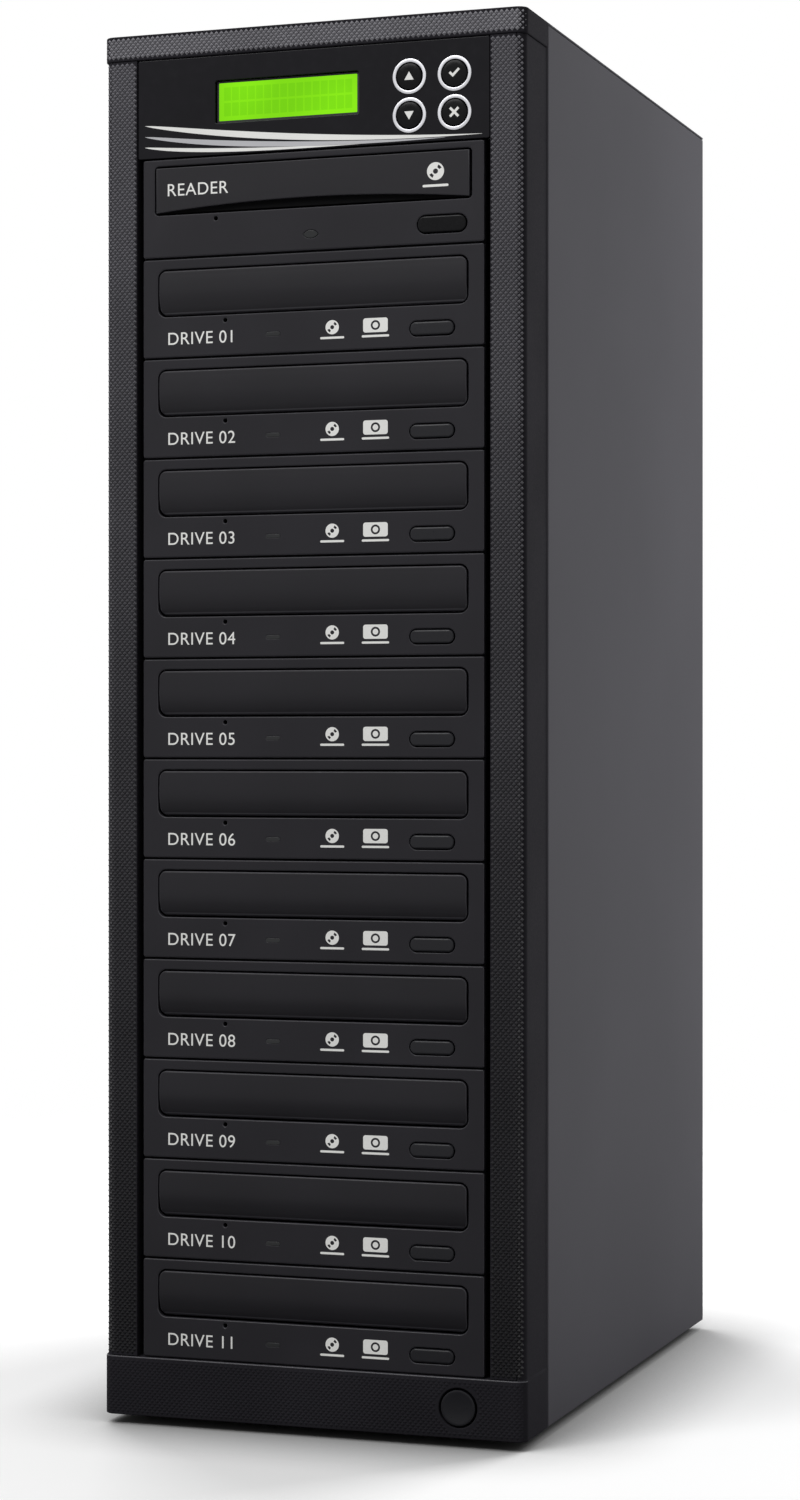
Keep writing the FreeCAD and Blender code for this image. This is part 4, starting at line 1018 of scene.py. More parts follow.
def spin_tree() -> Any:
    """Tree that repeats a part round a line that runs backwards through the origin.

    Returns:
        The tree.
    """
    tree, source = new_tree("spin", {
        "Part": "NodeSocketGeometry", "Count": "NodeSocketInt", "Material": "NodeSocketMaterial"})
    line = add_node(tree, "GeometryNodeMeshLine", {
        "Count": source.outputs["Count"], "Offset": (0.0, 0.0, 0.0)}, mode="OFFSET")
    number = add_node(tree, "GeometryNodeInputIndex")
    share = add_node(tree, "ShaderNodeMath", {
        0: 2 * math.pi, 1: source.outputs["Count"]}, operation="DIVIDE")
    turn = add_node(tree, "ShaderNodeMath", {
        0: number.outputs[0], 1: share.outputs[0]}, operation="MULTIPLY")
    euler = add_node(tree, "ShaderNodeCombineXYZ", {"Y": turn.outputs[0]})
    rotation = add_node(tree, "FunctionNodeEulerToRotation", {0: euler.outputs[0]})
    copies = add_node(tree, "GeometryNodeInstanceOnPoints", {
        "Points": line.outputs[0], "Instance": source.outputs["Part"], "Rotation": rotation.outputs[0]})
    end_tree(tree, source, copies.outputs[0])
    return tree


def ring_tree(steps: int = 64) -> Any:
    """Tree that bends wire into concentric rings round a line that runs backwards through the origin.

    Args:
        steps: number of sides of a ring.

    Returns:
        The tree, which keeps the part as well.
    """
    tree, source = new_tree("rings", {
        "Part": "NodeSocketGeometry", "Rings": "NodeSocketInt", "Spacing": "NodeSocketFloat",
        "Wire": "NodeSocketFloat", "Material": "NodeSocketMaterial"})
    line = add_node(tree, "GeometryNodeMeshLine", {
        "Count": source.outputs["Rings"], "Offset": (0.0, 0.0, 0.0)}, mode="OFFSET")
    ring = add_node(tree, "GeometryNodeCurvePrimitiveCircle", {"Resolution": steps, "Radius": 1.0})
    upright = add_node(tree, "GeometryNodeTransform", {
        "Geometry": ring.outputs[0], "Rotation": (math.pi / 2, 0.0, 0.0)})
    number = add_node(tree, "GeometryNodeInputIndex")
    count = add_node(tree, "ShaderNodeMath", {0: number.outputs[0], 1: 1.0}, operation="ADD")
    size = add_node(tree, "ShaderNodeMath", {
        0: count.outputs[0], 1: source.outputs["Spacing"]}, operation="MULTIPLY")
    copies = add_node(tree, "GeometryNodeInstanceOnPoints", {
        "Points": line.outputs[0], "Instance": upright.outputs[0], "Scale": size.outputs[0]})
    paths = add_node(tree, "GeometryNodeRealizeInstances", {0: copies.outputs[0]})
    half = add_node(tree, "ShaderNodeMath", {0: source.outputs["Wire"], 1: 0.5}, operation="MULTIPLY")
    section = add_node(tree, "GeometryNodeCurvePrimitiveCircle", {
        "Resolution": WIRE_SIDES, "Radius": half.outputs[0]})
    wires = add_node(tree, "GeometryNodeCurveToMesh", {
        "Curve": paths.outputs[0], "Profile Curve": section.outputs[0]})
    both = add_node(tree, "GeometryNodeJoinGeometry", {0: wires.outputs[0]})
    tree.links.new(source.outputs["Part"], both.inputs[0])
    end_tree(tree, source, both.outputs[0])
    return tree


def scatter_tree() -> Any:
    """Tree that sets a part on every point of another object.

    Returns:
        The tree.
    """
    tree, source = new_tree("scatter", {
        "Part": "NodeSocketGeometry", "Places": "NodeSocketObject", "Material": "NodeSocketMaterial"})
    places = add_node(tree, "GeometryNodeObjectInfo", {"Object": source.outputs["Places"]})
    copies = add_node(tree, "GeometryNodeInstanceOnPoints", {
        "Points": places.outputs["Geometry"], "Instance": source.outputs["Part"]})
    end_tree(tree, source, copies.outputs[0])
    return tree


# Sub-assemblies


@dataclass
class Cabinet:
    """Steel cabinet behind the front: panels, lid, feet and the pieces inside."""

    fold_radius: float = 0.6
    foot_radius: float = 1.0

    def build(self) -> None:
        """Round the folded edges of the sheets, and dress what stays inside."""
        for node in ("left_panel", "right_panel", "top_cover"):
            mesh = softened(finished(node_copy(node)), self.fold_radius, 3, thin=True)
            piece(node + "_sheet", mesh, PANEL_COAT, "tower", [node])
        dress_node("rear_panel", REAR_COAT)
        mesh = softened(finished(node_copy("feet")), self.foot_radius, 3)
        piece("rubber_feet", mesh, FOOT_RUBBER, "tower", ["feet"])
        for node in ("base_pan", "front_frame", "cage_walls", "control_sled", "drive_covers"):
            dress_node(node, ZINC_STEEL)
        for node in ("key_board", "control_board"):
            dress_node(node, BOARD_LAMINATE)
        dress_node("drive_chassis", TRAY_ABS)
        dress_node("wiring_looms", CABLE_PVC)
        dress_node("power_switch", INLET_NYLON)


@dataclass
class MouldedFront:
    """Moulded front of the tower: base, stiles, cap, mesh relief and power button."""

    half_width: float = 92.0
    corner_radius: float = 4.5
    edge: float = 0.5
    floor_gap: float = 4.0
    base_top: float = 28.5
    cap_bottom: float = 568.0
    top: float = 578.5
    squeeze_depth: float = 5.0
    face_slack: float = 0.1
    # Studs of the relief
    pitch: float = 2.2
    row_pitch: float = 1.15
    stud_fill: float = 0.9
    cap_stud: float = 0.75
    base_stud: float = 0.35
    relief_margin: float = 0.6
    # Stiles and the strips in them
    stile_inset: float = 0.6
    stile_setback: float = 0.8
    strip_edge: float = 0.2
    strip_depth: float = 1.0
    strip_inner: float = 77.0
    strip_wrap: float = 60.0
    # Power button, with (radius, depth) points from its dished middle to its stem
    button_x: float = 63.6
    button_z: float = 16.25
    button_clear: float = 9.6
    button_sides: int = 64
    button_profile: Profile = (
        (0.0, 0.75), (4.015, 0.62), (6.1, 0.35), (6.8, 0.27), (7.15, 0.4), (7.3, 0.8), (7.3, 9.0),
        (3.0, 9.0), (3.0, 12.1))

    def stud(self, height: float) -> bpy.types.Mesh:
        """Diamond pyramid that stands out to the front.

        Args:
            height: how far it stands out.

        Returns:
            The stud's mesh about the origin.
        """
        reach = self.pitch / 2 * self.stud_fill * MM
        rise = self.row_pitch * self.stud_fill * MM
        shape = bmesh.new()
        foot = [shape.verts.new(v) for v in ((reach, 0, 0), (0, 0, rise), (-reach, 0, 0), (0, 0, -rise))]
        tip = shape.verts.new((0, -height * MM, 0))
        for i in range(4):
            shape.faces.new((foot[i], foot[(i + 1) % 4], tip))
        shape.faces.new(foot)
        bmesh.ops.recalc_face_normals(shape, faces=shape.faces)
        return finished(shape)

    def relief(self, finish: Finish, width: float, height: Pair, x: float, depth: float, proud: float,
               inset: float = 0.0, setback: float = 0.0, spot: Pair = (0.0, 0.0),
               spot_radius: float = 0.0) -> bpy.types.Mesh:
        """Field of studs, bent round the corners that it reaches.

        Args:
            finish: finish of the studs.
            width: width of the field.
            height: its lower and its upper edge.
            x: its middle.
            depth: face that the studs stand on.
            proud: how far they stand out.
            inset: how far the sides of what carries it are inside those of the tower.
            setback: how far the front of what carries it is behind the front plane.
            spot: middle of a clear round, across and upwards from the middle of the field.
            spot_radius: radius of that round.

        Returns:
            The studs' mesh.
        """
        low, high = height
        flat = self.half_width - inset - self.corner_radius
        mesh = grown(relief_tree(), self.stud(proud), {
            "Columns": int(width / self.pitch - 0.5), "Rows": int((high - low) / self.row_pitch) - 1,
            "Pitch": self.pitch * MM, "Row Pitch": self.row_pitch * MM,
            "Flat From": (-flat - x) * MM, "Flat To": (flat - x) * MM,
            "Bend Radius": (self.corner_radius + setback - depth) * MM,
            "Spot": (spot[0] * MM, 0.0, spot[1] * MM), "Spot Radius": spot_radius * MM,
            "Material": finish.material()})
        mesh.transform(Matrix.Translation(at(x, depth, (low + high) / 2)))
        return mesh

    def wrapped_width(self, proud: float) -> float:
        """Width of a field of studs that runs round both corners, along the face that they stand on.

        Args:
            proud: how far the studs stand out.

        Returns:
            The width.
        """
        bend = (self.corner_radius - proud) * math.pi / 2
        return 2 * (self.half_width - self.corner_radius + bend)

    def recessed(self, node: str, height: Pair, amount: float) -> bpy.types.Mesh:
        """Copy of a node whose front is set back between two heights, its rounded corners squeezed to fit.

        Args:
            node: node to copy.
            height: lower and upper edge of the face.
            amount: how far it is set back.

        Returns:
            The changed mesh.
        """
        shape = node_copy(node, whole=False)
        for vert in shape.verts:
            depth = (vert.co.y - FRONT_Y) / MM
            within = height[0] - self.face_slack <= vert.co.z / MM <= height[1] + self.face_slack
            if within and depth < self.squeeze_depth:
                vert.co.y += amount * (1 - depth / self.squeeze_depth) * MM
        return finished(shape)

    def highlighted_ledge(self, mesh: bpy.types.Mesh) -> bpy.types.Mesh:
        """Paint a highlight on the rounded upper edge of the base, where it catches the light.

        Args:
            mesh: mesh of the moulded frame.

        Returns:
            The same mesh.
        """
        give(mesh, (BEZEL_ABS, EDGE_HIGHLIGHT_ABS))
        for face in mesh.polygons:
            below_top = self.base_top - face.center.z / MM
            tilted = -face.normal.y > EDGE_TILT[0] and face.normal.z > EDGE_TILT[0]
            # Painted highlight on the faces of the base's rounded upper edge
            face.material_index = int(0 < below_top < self.edge and tilted)
        return mesh

    def cap_and_base(self) -> None:
        """Make the moulded frame and the cap, with the relief on both."""
        base = (self.floor_gap, self.base_top)
        cap = (self.cap_bottom, self.top)
        mesh = self.highlighted_ledge(softened(self.recessed("front_bezel", base, self.base_stud), self.edge))
        piece("front_moulding", mesh, BEZEL_ABS, "tower", ["front_bezel"])
        mesh = softened(self.recessed("top_cap", cap, self.cap_stud), self.edge, 3)
        piece("cap_moulding", mesh, BEZEL_ABS, "tower", ["top_cap"])
        height = (cap[0] + self.relief_margin, cap[1] - self.relief_margin)
        wide = self.wrapped_width(self.cap_stud)
        # The cap's studs carry a painted highlight, paler all along
        mesh = self.relief(CAP_ABS, wide, height, 0, self.cap_stud, self.cap_stud)
        piece("cap_relief", mesh, CAP_ABS, "tower")
        height = (base[0] + self.relief_margin, base[1] - self.relief_margin)
        wide = self.wrapped_width(self.base_stud)
        spot = (self.button_x, self.button_z - (base[0] + base[1]) / 2)
        mesh = self.relief(BEZEL_ABS, wide, height, 0, self.base_stud, self.base_stud, spot=spot,
                           spot_radius=self.button_clear)
        piece("base_relief", mesh, BEZEL_ABS, "tower")

    def strips(self) -> None:
        """Make the trim strips in the stiles and the relief that runs from them round the corners."""
        mesh = softened(finished(node_copy("side_strips")), self.strip_edge)
        piece("stile_strips", mesh, BEZEL_ABS, "tower", ["side_strips"])
        low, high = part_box("side_strips")
        bend = self.corner_radius + self.stile_setback - self.strip_depth
        outer = self.half_width - self.stile_inset - self.corner_radius + bend * math.radians(self.strip_wrap)
        # The strips' relief carries painted shade, darker towards the foot
        mesh = joined([
            self.relief(RELIEF_ABS, outer - self.strip_inner, (low.z / MM, high.z / MM),
                        side * (self.strip_inner + outer) / 2, self.strip_depth, self.cap_stud,
                        self.stile_inset, self.stile_setback)
            for side in (-1, 1)])
        piece("stile_relief", mesh, RELIEF_ABS, "tower")

    def build(self) -> None:
        """Make the mouldings, their relief and the power button."""
        self.cap_and_base()
        self.strips()
        mesh = lathe(self.button_profile, self.button_x, self.button_z, self.button_sides)
        piece("power_key", mesh, BUTTON_ABS, "power_button", ["power_button"])


@dataclass(frozen=True)
class InkSweep:
    """A printed blade that tapers to both ends along a curve; its points are places across and drops."""

    ink: Finish
    thickness: float
    start: Pair
    bend: Pair
    end: Pair
    lean: float = 0.7
    taper: float = 0.9
    tip: float = 0.04
    steps: int = 48

    def outline(self, top: float) -> Outline:
        """Outline of the blade.

        Args:
            top: height that the drops are measured from.

        Returns:
            The closed outline.
        """
        upper: Outline = []
        lower: Outline = []
        for i in range(self.steps + 1):
            t = i / self.steps
            a, b, c = (1 - t) ** 2, 2 * t * (1 - t), t ** 2
            x = a * self.start[0] + b * self.bend[0] + c * self.end[0]
            z = top - (a * self.start[1] + b * self.bend[1] + c * self.end[1])
            half = self.thickness / 2 * math.sin(math.pi * t ** self.lean) ** self.taper + self.tip
            upper.append((x, z + half))
            lower.append((x, z - half))
        return upper + lower[::-1]


@dataclass
class Controller:
    """Controller at the top: fascia, display, keys with their rings, and prints."""

    top: float = 567.75
    height: float = 41.0
    half_width: float = 76.7
    face: float = 1.4
    thickness: float = 3.0
    corner: float = 0.8
    edge: float = 0.35
    # Display window, lit glass behind it, and character cells on the glass
    window: Pair = (63.0, 17.6)
    window_x: float = -10.6
    window_drop: float = 19.1
    lit: Pair = (60.6, 15.6)
    lit_corner: float = 0.3
    glass: Pair = (2.92, 2.99)
    glass_edge: float = 0.02
    cells: tuple[int, int] = (16, 2)
    cell_pitch: Pair = (3.55, 6.4)
    cell_size: Pair = (3.0, 5.5)
    cell_corner: float = 0.2
    cell_front: float = 2.9
    cell_thickness: float = 0.03
    # Keys: places across and drops, marks about their middles, and (radius, depth) points of their shapes
    keys: dict[str, Pair] = field(default_factory=lambda: {
        "key_up": (42.8, 14.3), "key_down": (42.8, 30.0),
        "key_enter": (62.0, 14.3), "key_escape": (62.0, 30.0)})
    symbols: dict[str, Outline] = field(default_factory=lambda: {
        "key_up": [(-2.0, -1.5), (2.0, -1.5), (0, 1.9)],
        "key_down": [(-2.0, 1.5), (0, -1.9), (2.0, 1.5)],
        "key_enter": [(-2.3, 0.1), (-1.6, 0.8), (-0.6, -0.2), (1.7, 2.1), (2.4, 1.4), (-0.6, -1.6)],
        "key_escape": cross(2.5, 0.5, 45.0)})
    symbol_ink: Pair = (0.47, 0.56)
    cap_profile: Profile = (
        (0.0, 0.5), (3.24, 0.53), (4.7, 0.6), (5.2, 0.8), (5.4, 1.2), (5.4, 5.4), (2.5, 5.4), (2.5, 10.8))
    ring_bore: float = 5.7
    ring_sides: int = 64
    ring_profile: Profile = (
        (5.7, 1.4), (5.7, 1.05), (5.85, 0.86), (6.1, 0.8), (6.8, 0.8), (7.08, 0.88), (7.2, 1.1), (7.2, 1.4))
    # Printed sheaf that sweeps from the left down to the lower right
    print_ink: Pair = (1.37, 1.45)
    sweeps: tuple[InkSweep, ...] = (
        InkSweep(INK_LIGHT, 2.6, (-73.5, 27.2), (-2.0, 38.9), (73.5, 39.2)),
        InkSweep(INK_SILVER, 2.2, (-73.5, 31.8), (-22.0, 40.4), (58.0, 39.8)),
        InkSweep(INK_LIGHT, 1.5, (-73.5, 36.2), (-45.0, 40.4), (22.0, 40.2)))

    def z(self, drop: float) -> float:
        """Height of a point that lies a drop below the top edge."""
        return self.top - drop

    def fascia(self) -> None:
        """Make the fascia with its window and key holes."""
        outer = rounded(2 * self.half_width, self.height, self.corner, 0, self.z(self.height / 2), 4)
        window = rounded(*self.window, self.corner, self.window_x, self.z(self.window_drop), 4)
        holes = [circle(self.ring_bore, x, self.z(drop)) for x, drop in self.keys.values()]
        mesh = plate([outer, window, *holes], (self.face, self.face + self.thickness), self.edge)
        piece("fascia_panel", mesh, FASCIA_ACRYLIC, "tower", ["control_fascia"])

    def display(self) -> None:
        """Make the display: a dark frame, the lit glass and its character cells."""
        dress_node("lcd_module", INLET_NYLON)
        x, z = self.window_x, self.z(self.window_drop)
        mesh = plate([rounded(*self.lit, self.lit_corner, x, z, 3)], self.glass, self.glass_edge)
        piece("display_glass", mesh, LCD_GLOW, "tower")
        mesh = plate([rounded(*self.cell_size, self.cell_corner, 0, 0, 2)], (0, self.cell_thickness))
        mesh.transform(Matrix.Translation(-at(0, 0, 0)))
        across, up = self.cell_pitch
        for count, step in zip(self.cells, ((across * MM, 0, 0), (0, 0, up * MM))):
            mesh = grown(row_tree(), mesh, {"Count": count, "Step": step, "Material": LCD_CELL.material()})
        first_x = x - (self.cells[0] - 1) / 2 * across
        first_z = z - (self.cells[1] - 1) / 2 * up
        mesh.transform(Matrix.Translation(at(first_x, self.cell_front, first_z)))
        piece("display_cells", mesh, LCD_CELL, "tower")

    def key_set(self) -> None:
        """Make the four keys with their marks, and the bright rings round them."""
        rings = []
        for name, (x, drop) in self.keys.items():
            z = self.z(drop)
            mesh = lathe(self.cap_profile, x, z)
            piece(name + "_cap", mesh, DARK_BUTTON_ABS, name, [name])
            mesh = plate([[(x + u, z + v) for u, v in self.symbols[name]]], self.symbol_ink)
            piece(name + "_mark", mesh, INK_LIGHT, name)
            rings.append(lathe(self.ring_profile, x, z, self.ring_sides, closed=True))
        piece("key_trim_rings", joined(rings), CHROME_RING, "tower", ["key_rings"])

    def print_band(self) -> None:
        """Print the sheaf of tapering blades."""
        for number, sweep in enumerate(self.sweeps, 1):
            mesh = plate([sweep.outline(self.top)], self.print_ink)
            piece("fascia_print_%d" % number, mesh, sweep.ink, "tower")

    def build(self) -> None:
        """Make the whole controller."""
        self.fascia()
        self.display()
        self.key_set()
        self.print_band()


@dataclass
class Drive:
    """One disc drive's front and tray, about the top edge; the sizes tell a reader from a burner."""

    # Door: width, height, corner radius. Button and lamp: width, height, place across, drop
    door: tuple[float, float, float]
    door_drop: float
    eject: tuple[float, float, float, float]
    pinhole: Pair
    lamp: tuple[float, float, float, float]
    # Moulded front and the skirt behind it
    width: float = 149.0
    height: float = 41.0
    face: float = 1.4
    rear: float = 9.4
    wall: float = 2.5
    edge: float = 0.5
    corner: float = 0.9
    skirt_corner: float = 0.5
    seam_room: float = 0.2
    flange_height: float = 41.52
    pinhole_radius: float = 0.9
    # Eject button and lamp; a lens with a gap below zero fills its hole
    eject_gap: float = 0.45
    eject_proud: float = 0.5
    eject_length: float = 6.0
    eject_edge: float = 0.7
    eject_square: float = 0.3
    hole_square: float = 0.01
    lamp_square: float = 0.02
    lamp_point: float = 0.6
    lens_gap: float = -0.15
    lens_proud: float = 0.05
    lens_length: float = 4.05
    lens_edge: float = 0.15
    # Door
    door_front: float = 0.8
    door_back: float = 5.8
    door_gap: float = 0.7
    door_edge: float = 0.55
    door_sharp: float = 50.0
    crown: float = 0.4
    roll: float = 2.6
    arch: float = 3.4
    arch_plate: float = 2.4
    arch_edge: float = 0.35
    core_corner: float = 0.5
    core_edge: float = 0.2
    # Tray plate, with the heights of the seats above its underside
    tray_rise: float = 1.6
    tray_width: float = 129.0
    tray_rear: float = 163.8
    tray_top: float = 5.5
    tray_corner: float = 6.0
    disc: float = 120.8
    disc_seat: float = 3.5
    small_disc: float = 81.0
    small_seat: float = 2.7
    disc_middle: float = 73.2
    slot_width: float = 36.0
    slot_reach: float = 54.0

    def door_middle(self) -> float:
        """Middle height of the door, as a drop."""
        return self.door_drop + self.door[1] / 2

    def lamp_outline(self, gap: float, slim: float = 2.0, steps: int = 16) -> Outline:
        """Outline of the lamp: a pointed eye, or a rounded bar where it is slim.

        Args:
            gap: how much smaller it is all round.
            slim: height up to which the lamp is a bar.
            steps: chords along each lid of the eye.

        Returns:
            The outline.
        """
        width, height, x, drop = self.lamp
        if height <= slim:
            radius = height / 2 - gap - self.lamp_square
            return rounded(width - 2 * gap, height - 2 * gap, radius, x, -drop, 4)
        reach = width / 2 - gap
        rise = height / 2 - gap
        upper = [(x + reach * math.cos(t), -drop + rise * math.sin(t) * abs(math.sin(t)) ** self.lamp_point)
                 for t in (math.pi * i / steps for i in range(steps + 1))]
        lower = [(u, -2 * drop - v) for u, v in reversed(upper[1:-1])]
        return upper + lower

    def lens(self) -> bpy.types.Mesh:
        """Light pipe of the lamp.

        Returns:
            The pipe's mesh.
        """
        front = self.face - self.lens_proud
        return plate([self.lamp_outline(self.lens_gap)], (front, front + self.lens_length), self.lens_edge)

    def front(self) -> bpy.types.Mesh:
        """Moulded front with its openings and the skirt behind it.

        Returns:
            The front's mesh.
        """
        door_w, door_h, door_r = self.door
        eject_w, eject_h, eject_x, eject_drop = self.eject
        middle = -self.height / 2
        room = 2 * self.seam_room
        gap = self.door_gap
        outer = rounded(self.width - room, self.height - room, self.corner, 0, middle, 4)
        window = rounded(door_w + 2 * gap, door_h + 2 * gap, door_r + gap, 0, -self.door_middle(), 8)
        gap = self.eject_gap
        radius = eject_h / 2 + gap - self.hole_square
        button = rounded(eject_w + 2 * gap, eject_h + 2 * gap, radius, eject_x, -eject_drop, 8)
        release = circle(self.pinhole_radius, self.pinhole[0], -self.pinhole[1], 16)
        rear = self.face + self.wall
        face = plate([outer, window, button, release, self.lamp_outline(0.0)], (self.face, rear), self.edge)
        flange = rounded(self.width, self.flange_height, self.skirt_corner, 0, middle, 4)
        inner = rounded(
            self.width - 2 * self.wall, self.height - 2 * self.wall, self.skirt_corner, 0, middle, 4)
        skirt = plate([flange, inner], (rear - self.edge, self.rear))
        return joined([face, skirt])

    def eject_button(self) -> bpy.types.Mesh:
        """Eject button with a rounded face.

        Returns:
            The button's mesh.
        """
        width, height, x, drop = self.eject
        outline = rounded(width, height, height / 2 - self.eject_square, x, -drop, 8)
        front = self.face - self.eject_proud
        return plate([outline], (front, front + self.eject_length), self.eject_edge)

    def crowned_door(self, steps: int = 8) -> bpy.types.Mesh:
        """Door whose face is crowned and rolls back towards its lower edge.

        Args:
            steps: chords in each corner, and down the straight of each side.

        Returns:
            The door's mesh.
        """
        width, height, radius = self.door
        straight = height / 2 - radius
        turns = [math.radians(90 * i / steps) for i in range(steps + 1)]
        corner = [(straight + radius * math.sin(t), width / 2 - radius + radius * math.cos(t)) for t in turns]
        levels = corner[::-1]
        levels += [(straight - 2 * straight * i / steps, width / 2) for i in range(1, steps)]
        levels += [(-v, half) for v, half in corner]
        shape = bmesh.new()
        rows = []
        for v, half in levels:
            share = abs(2 * v / height)
            front = self.door_front + (self.crown if v > 0 else self.roll) * share ** 2
            section = ((-half, front), (half, front), (half, self.door_back), (-half, self.door_back))
            rows.append([shape.verts.new(at(u, d, v - self.door_middle())) for u, d in section])
        for upper, lower in zip(rows, rows[1:]):
            for i in range(4):
                j = (i + 1) % 4
                shape.faces.new((upper[i], upper[j], lower[j], lower[i]))
        shape.faces.new(rows[0])
        shape.faces.new(rows[-1])
        bmesh.ops.recalc_face_normals(shape, faces=shape.faces)
        return softened(finished(shape), self.door_edge, 3, self.door_sharp)

    def arched_door(self, steps: int = 32) -> bpy.types.Mesh:
        """Door plate whose lower edge arches up.

        Args:
            steps: chords along the arch.

        Returns:
            The plate's mesh.
        """
        width, height, _ = self.door
        half = width / 2
        high = -self.door_drop
        arch = [(half - width * i / steps, high - height + self.arch * (1 - (1 - 2 * i / steps) ** 2))
                for i in range(steps + 1)]
        outline = [(-half, high), *arch[::-1], (half, high)]
        return plate([outline], (self.door_front, self.door_front + self.arch_plate), self.arch_edge)

    def door_core(self) -> bpy.types.Mesh:
        """Plain block behind an arched door plate, in painted shade so that it shows nearly black below the
        arch.

        Returns:
            The block's mesh.
        """
        width, height, _ = self.door
        outline = rounded(width, height, self.core_corner, 0, -self.door_middle(), 3)
        return plate([outline], (self.door_front + self.arch_plate, self.door_back), self.core_edge)

    def sled(self, past: float = 1.0) -> bpy.types.Mesh:
        """Tray plate with stepped seats for large and small discs and the lens slot.

        Args:
            past: how far a cut goes beyond the plate.

        Returns:
            The plate's mesh.
        """
        bottom = -self.door_drop - self.door[1] + self.tray_rise
        top = bottom + self.tray_top
        length = self.tray_rear - self.door_back
        outer = rounded(
            self.tray_width, length, self.tray_corner, 0, (self.door_back + self.tray_rear) / 2, 6)
        square = [(u, max(v, self.door_back)) for u, v in outer]
        half = self.slot_width / 2
        end = self.disc_middle + self.slot_reach
        slot = [*arc(half, 180, 360, 16, (0, self.disc_middle)), (half, end), (-half, end)]
        small = circle(self.small_disc / 2, 0, self.disc_middle, 72)
        large = circle(self.disc / 2, 0, self.disc_middle, 96)
        body = plate([square], (bottom, top), facing=Facing.TOP)
        floors = ((large, bottom + self.disc_seat), (small, bottom + self.small_seat), (slot, bottom - past))
        return cut(body, [
            plate([outline], (floor, top + past), facing=Facing.TOP) for outline, floor in floors])


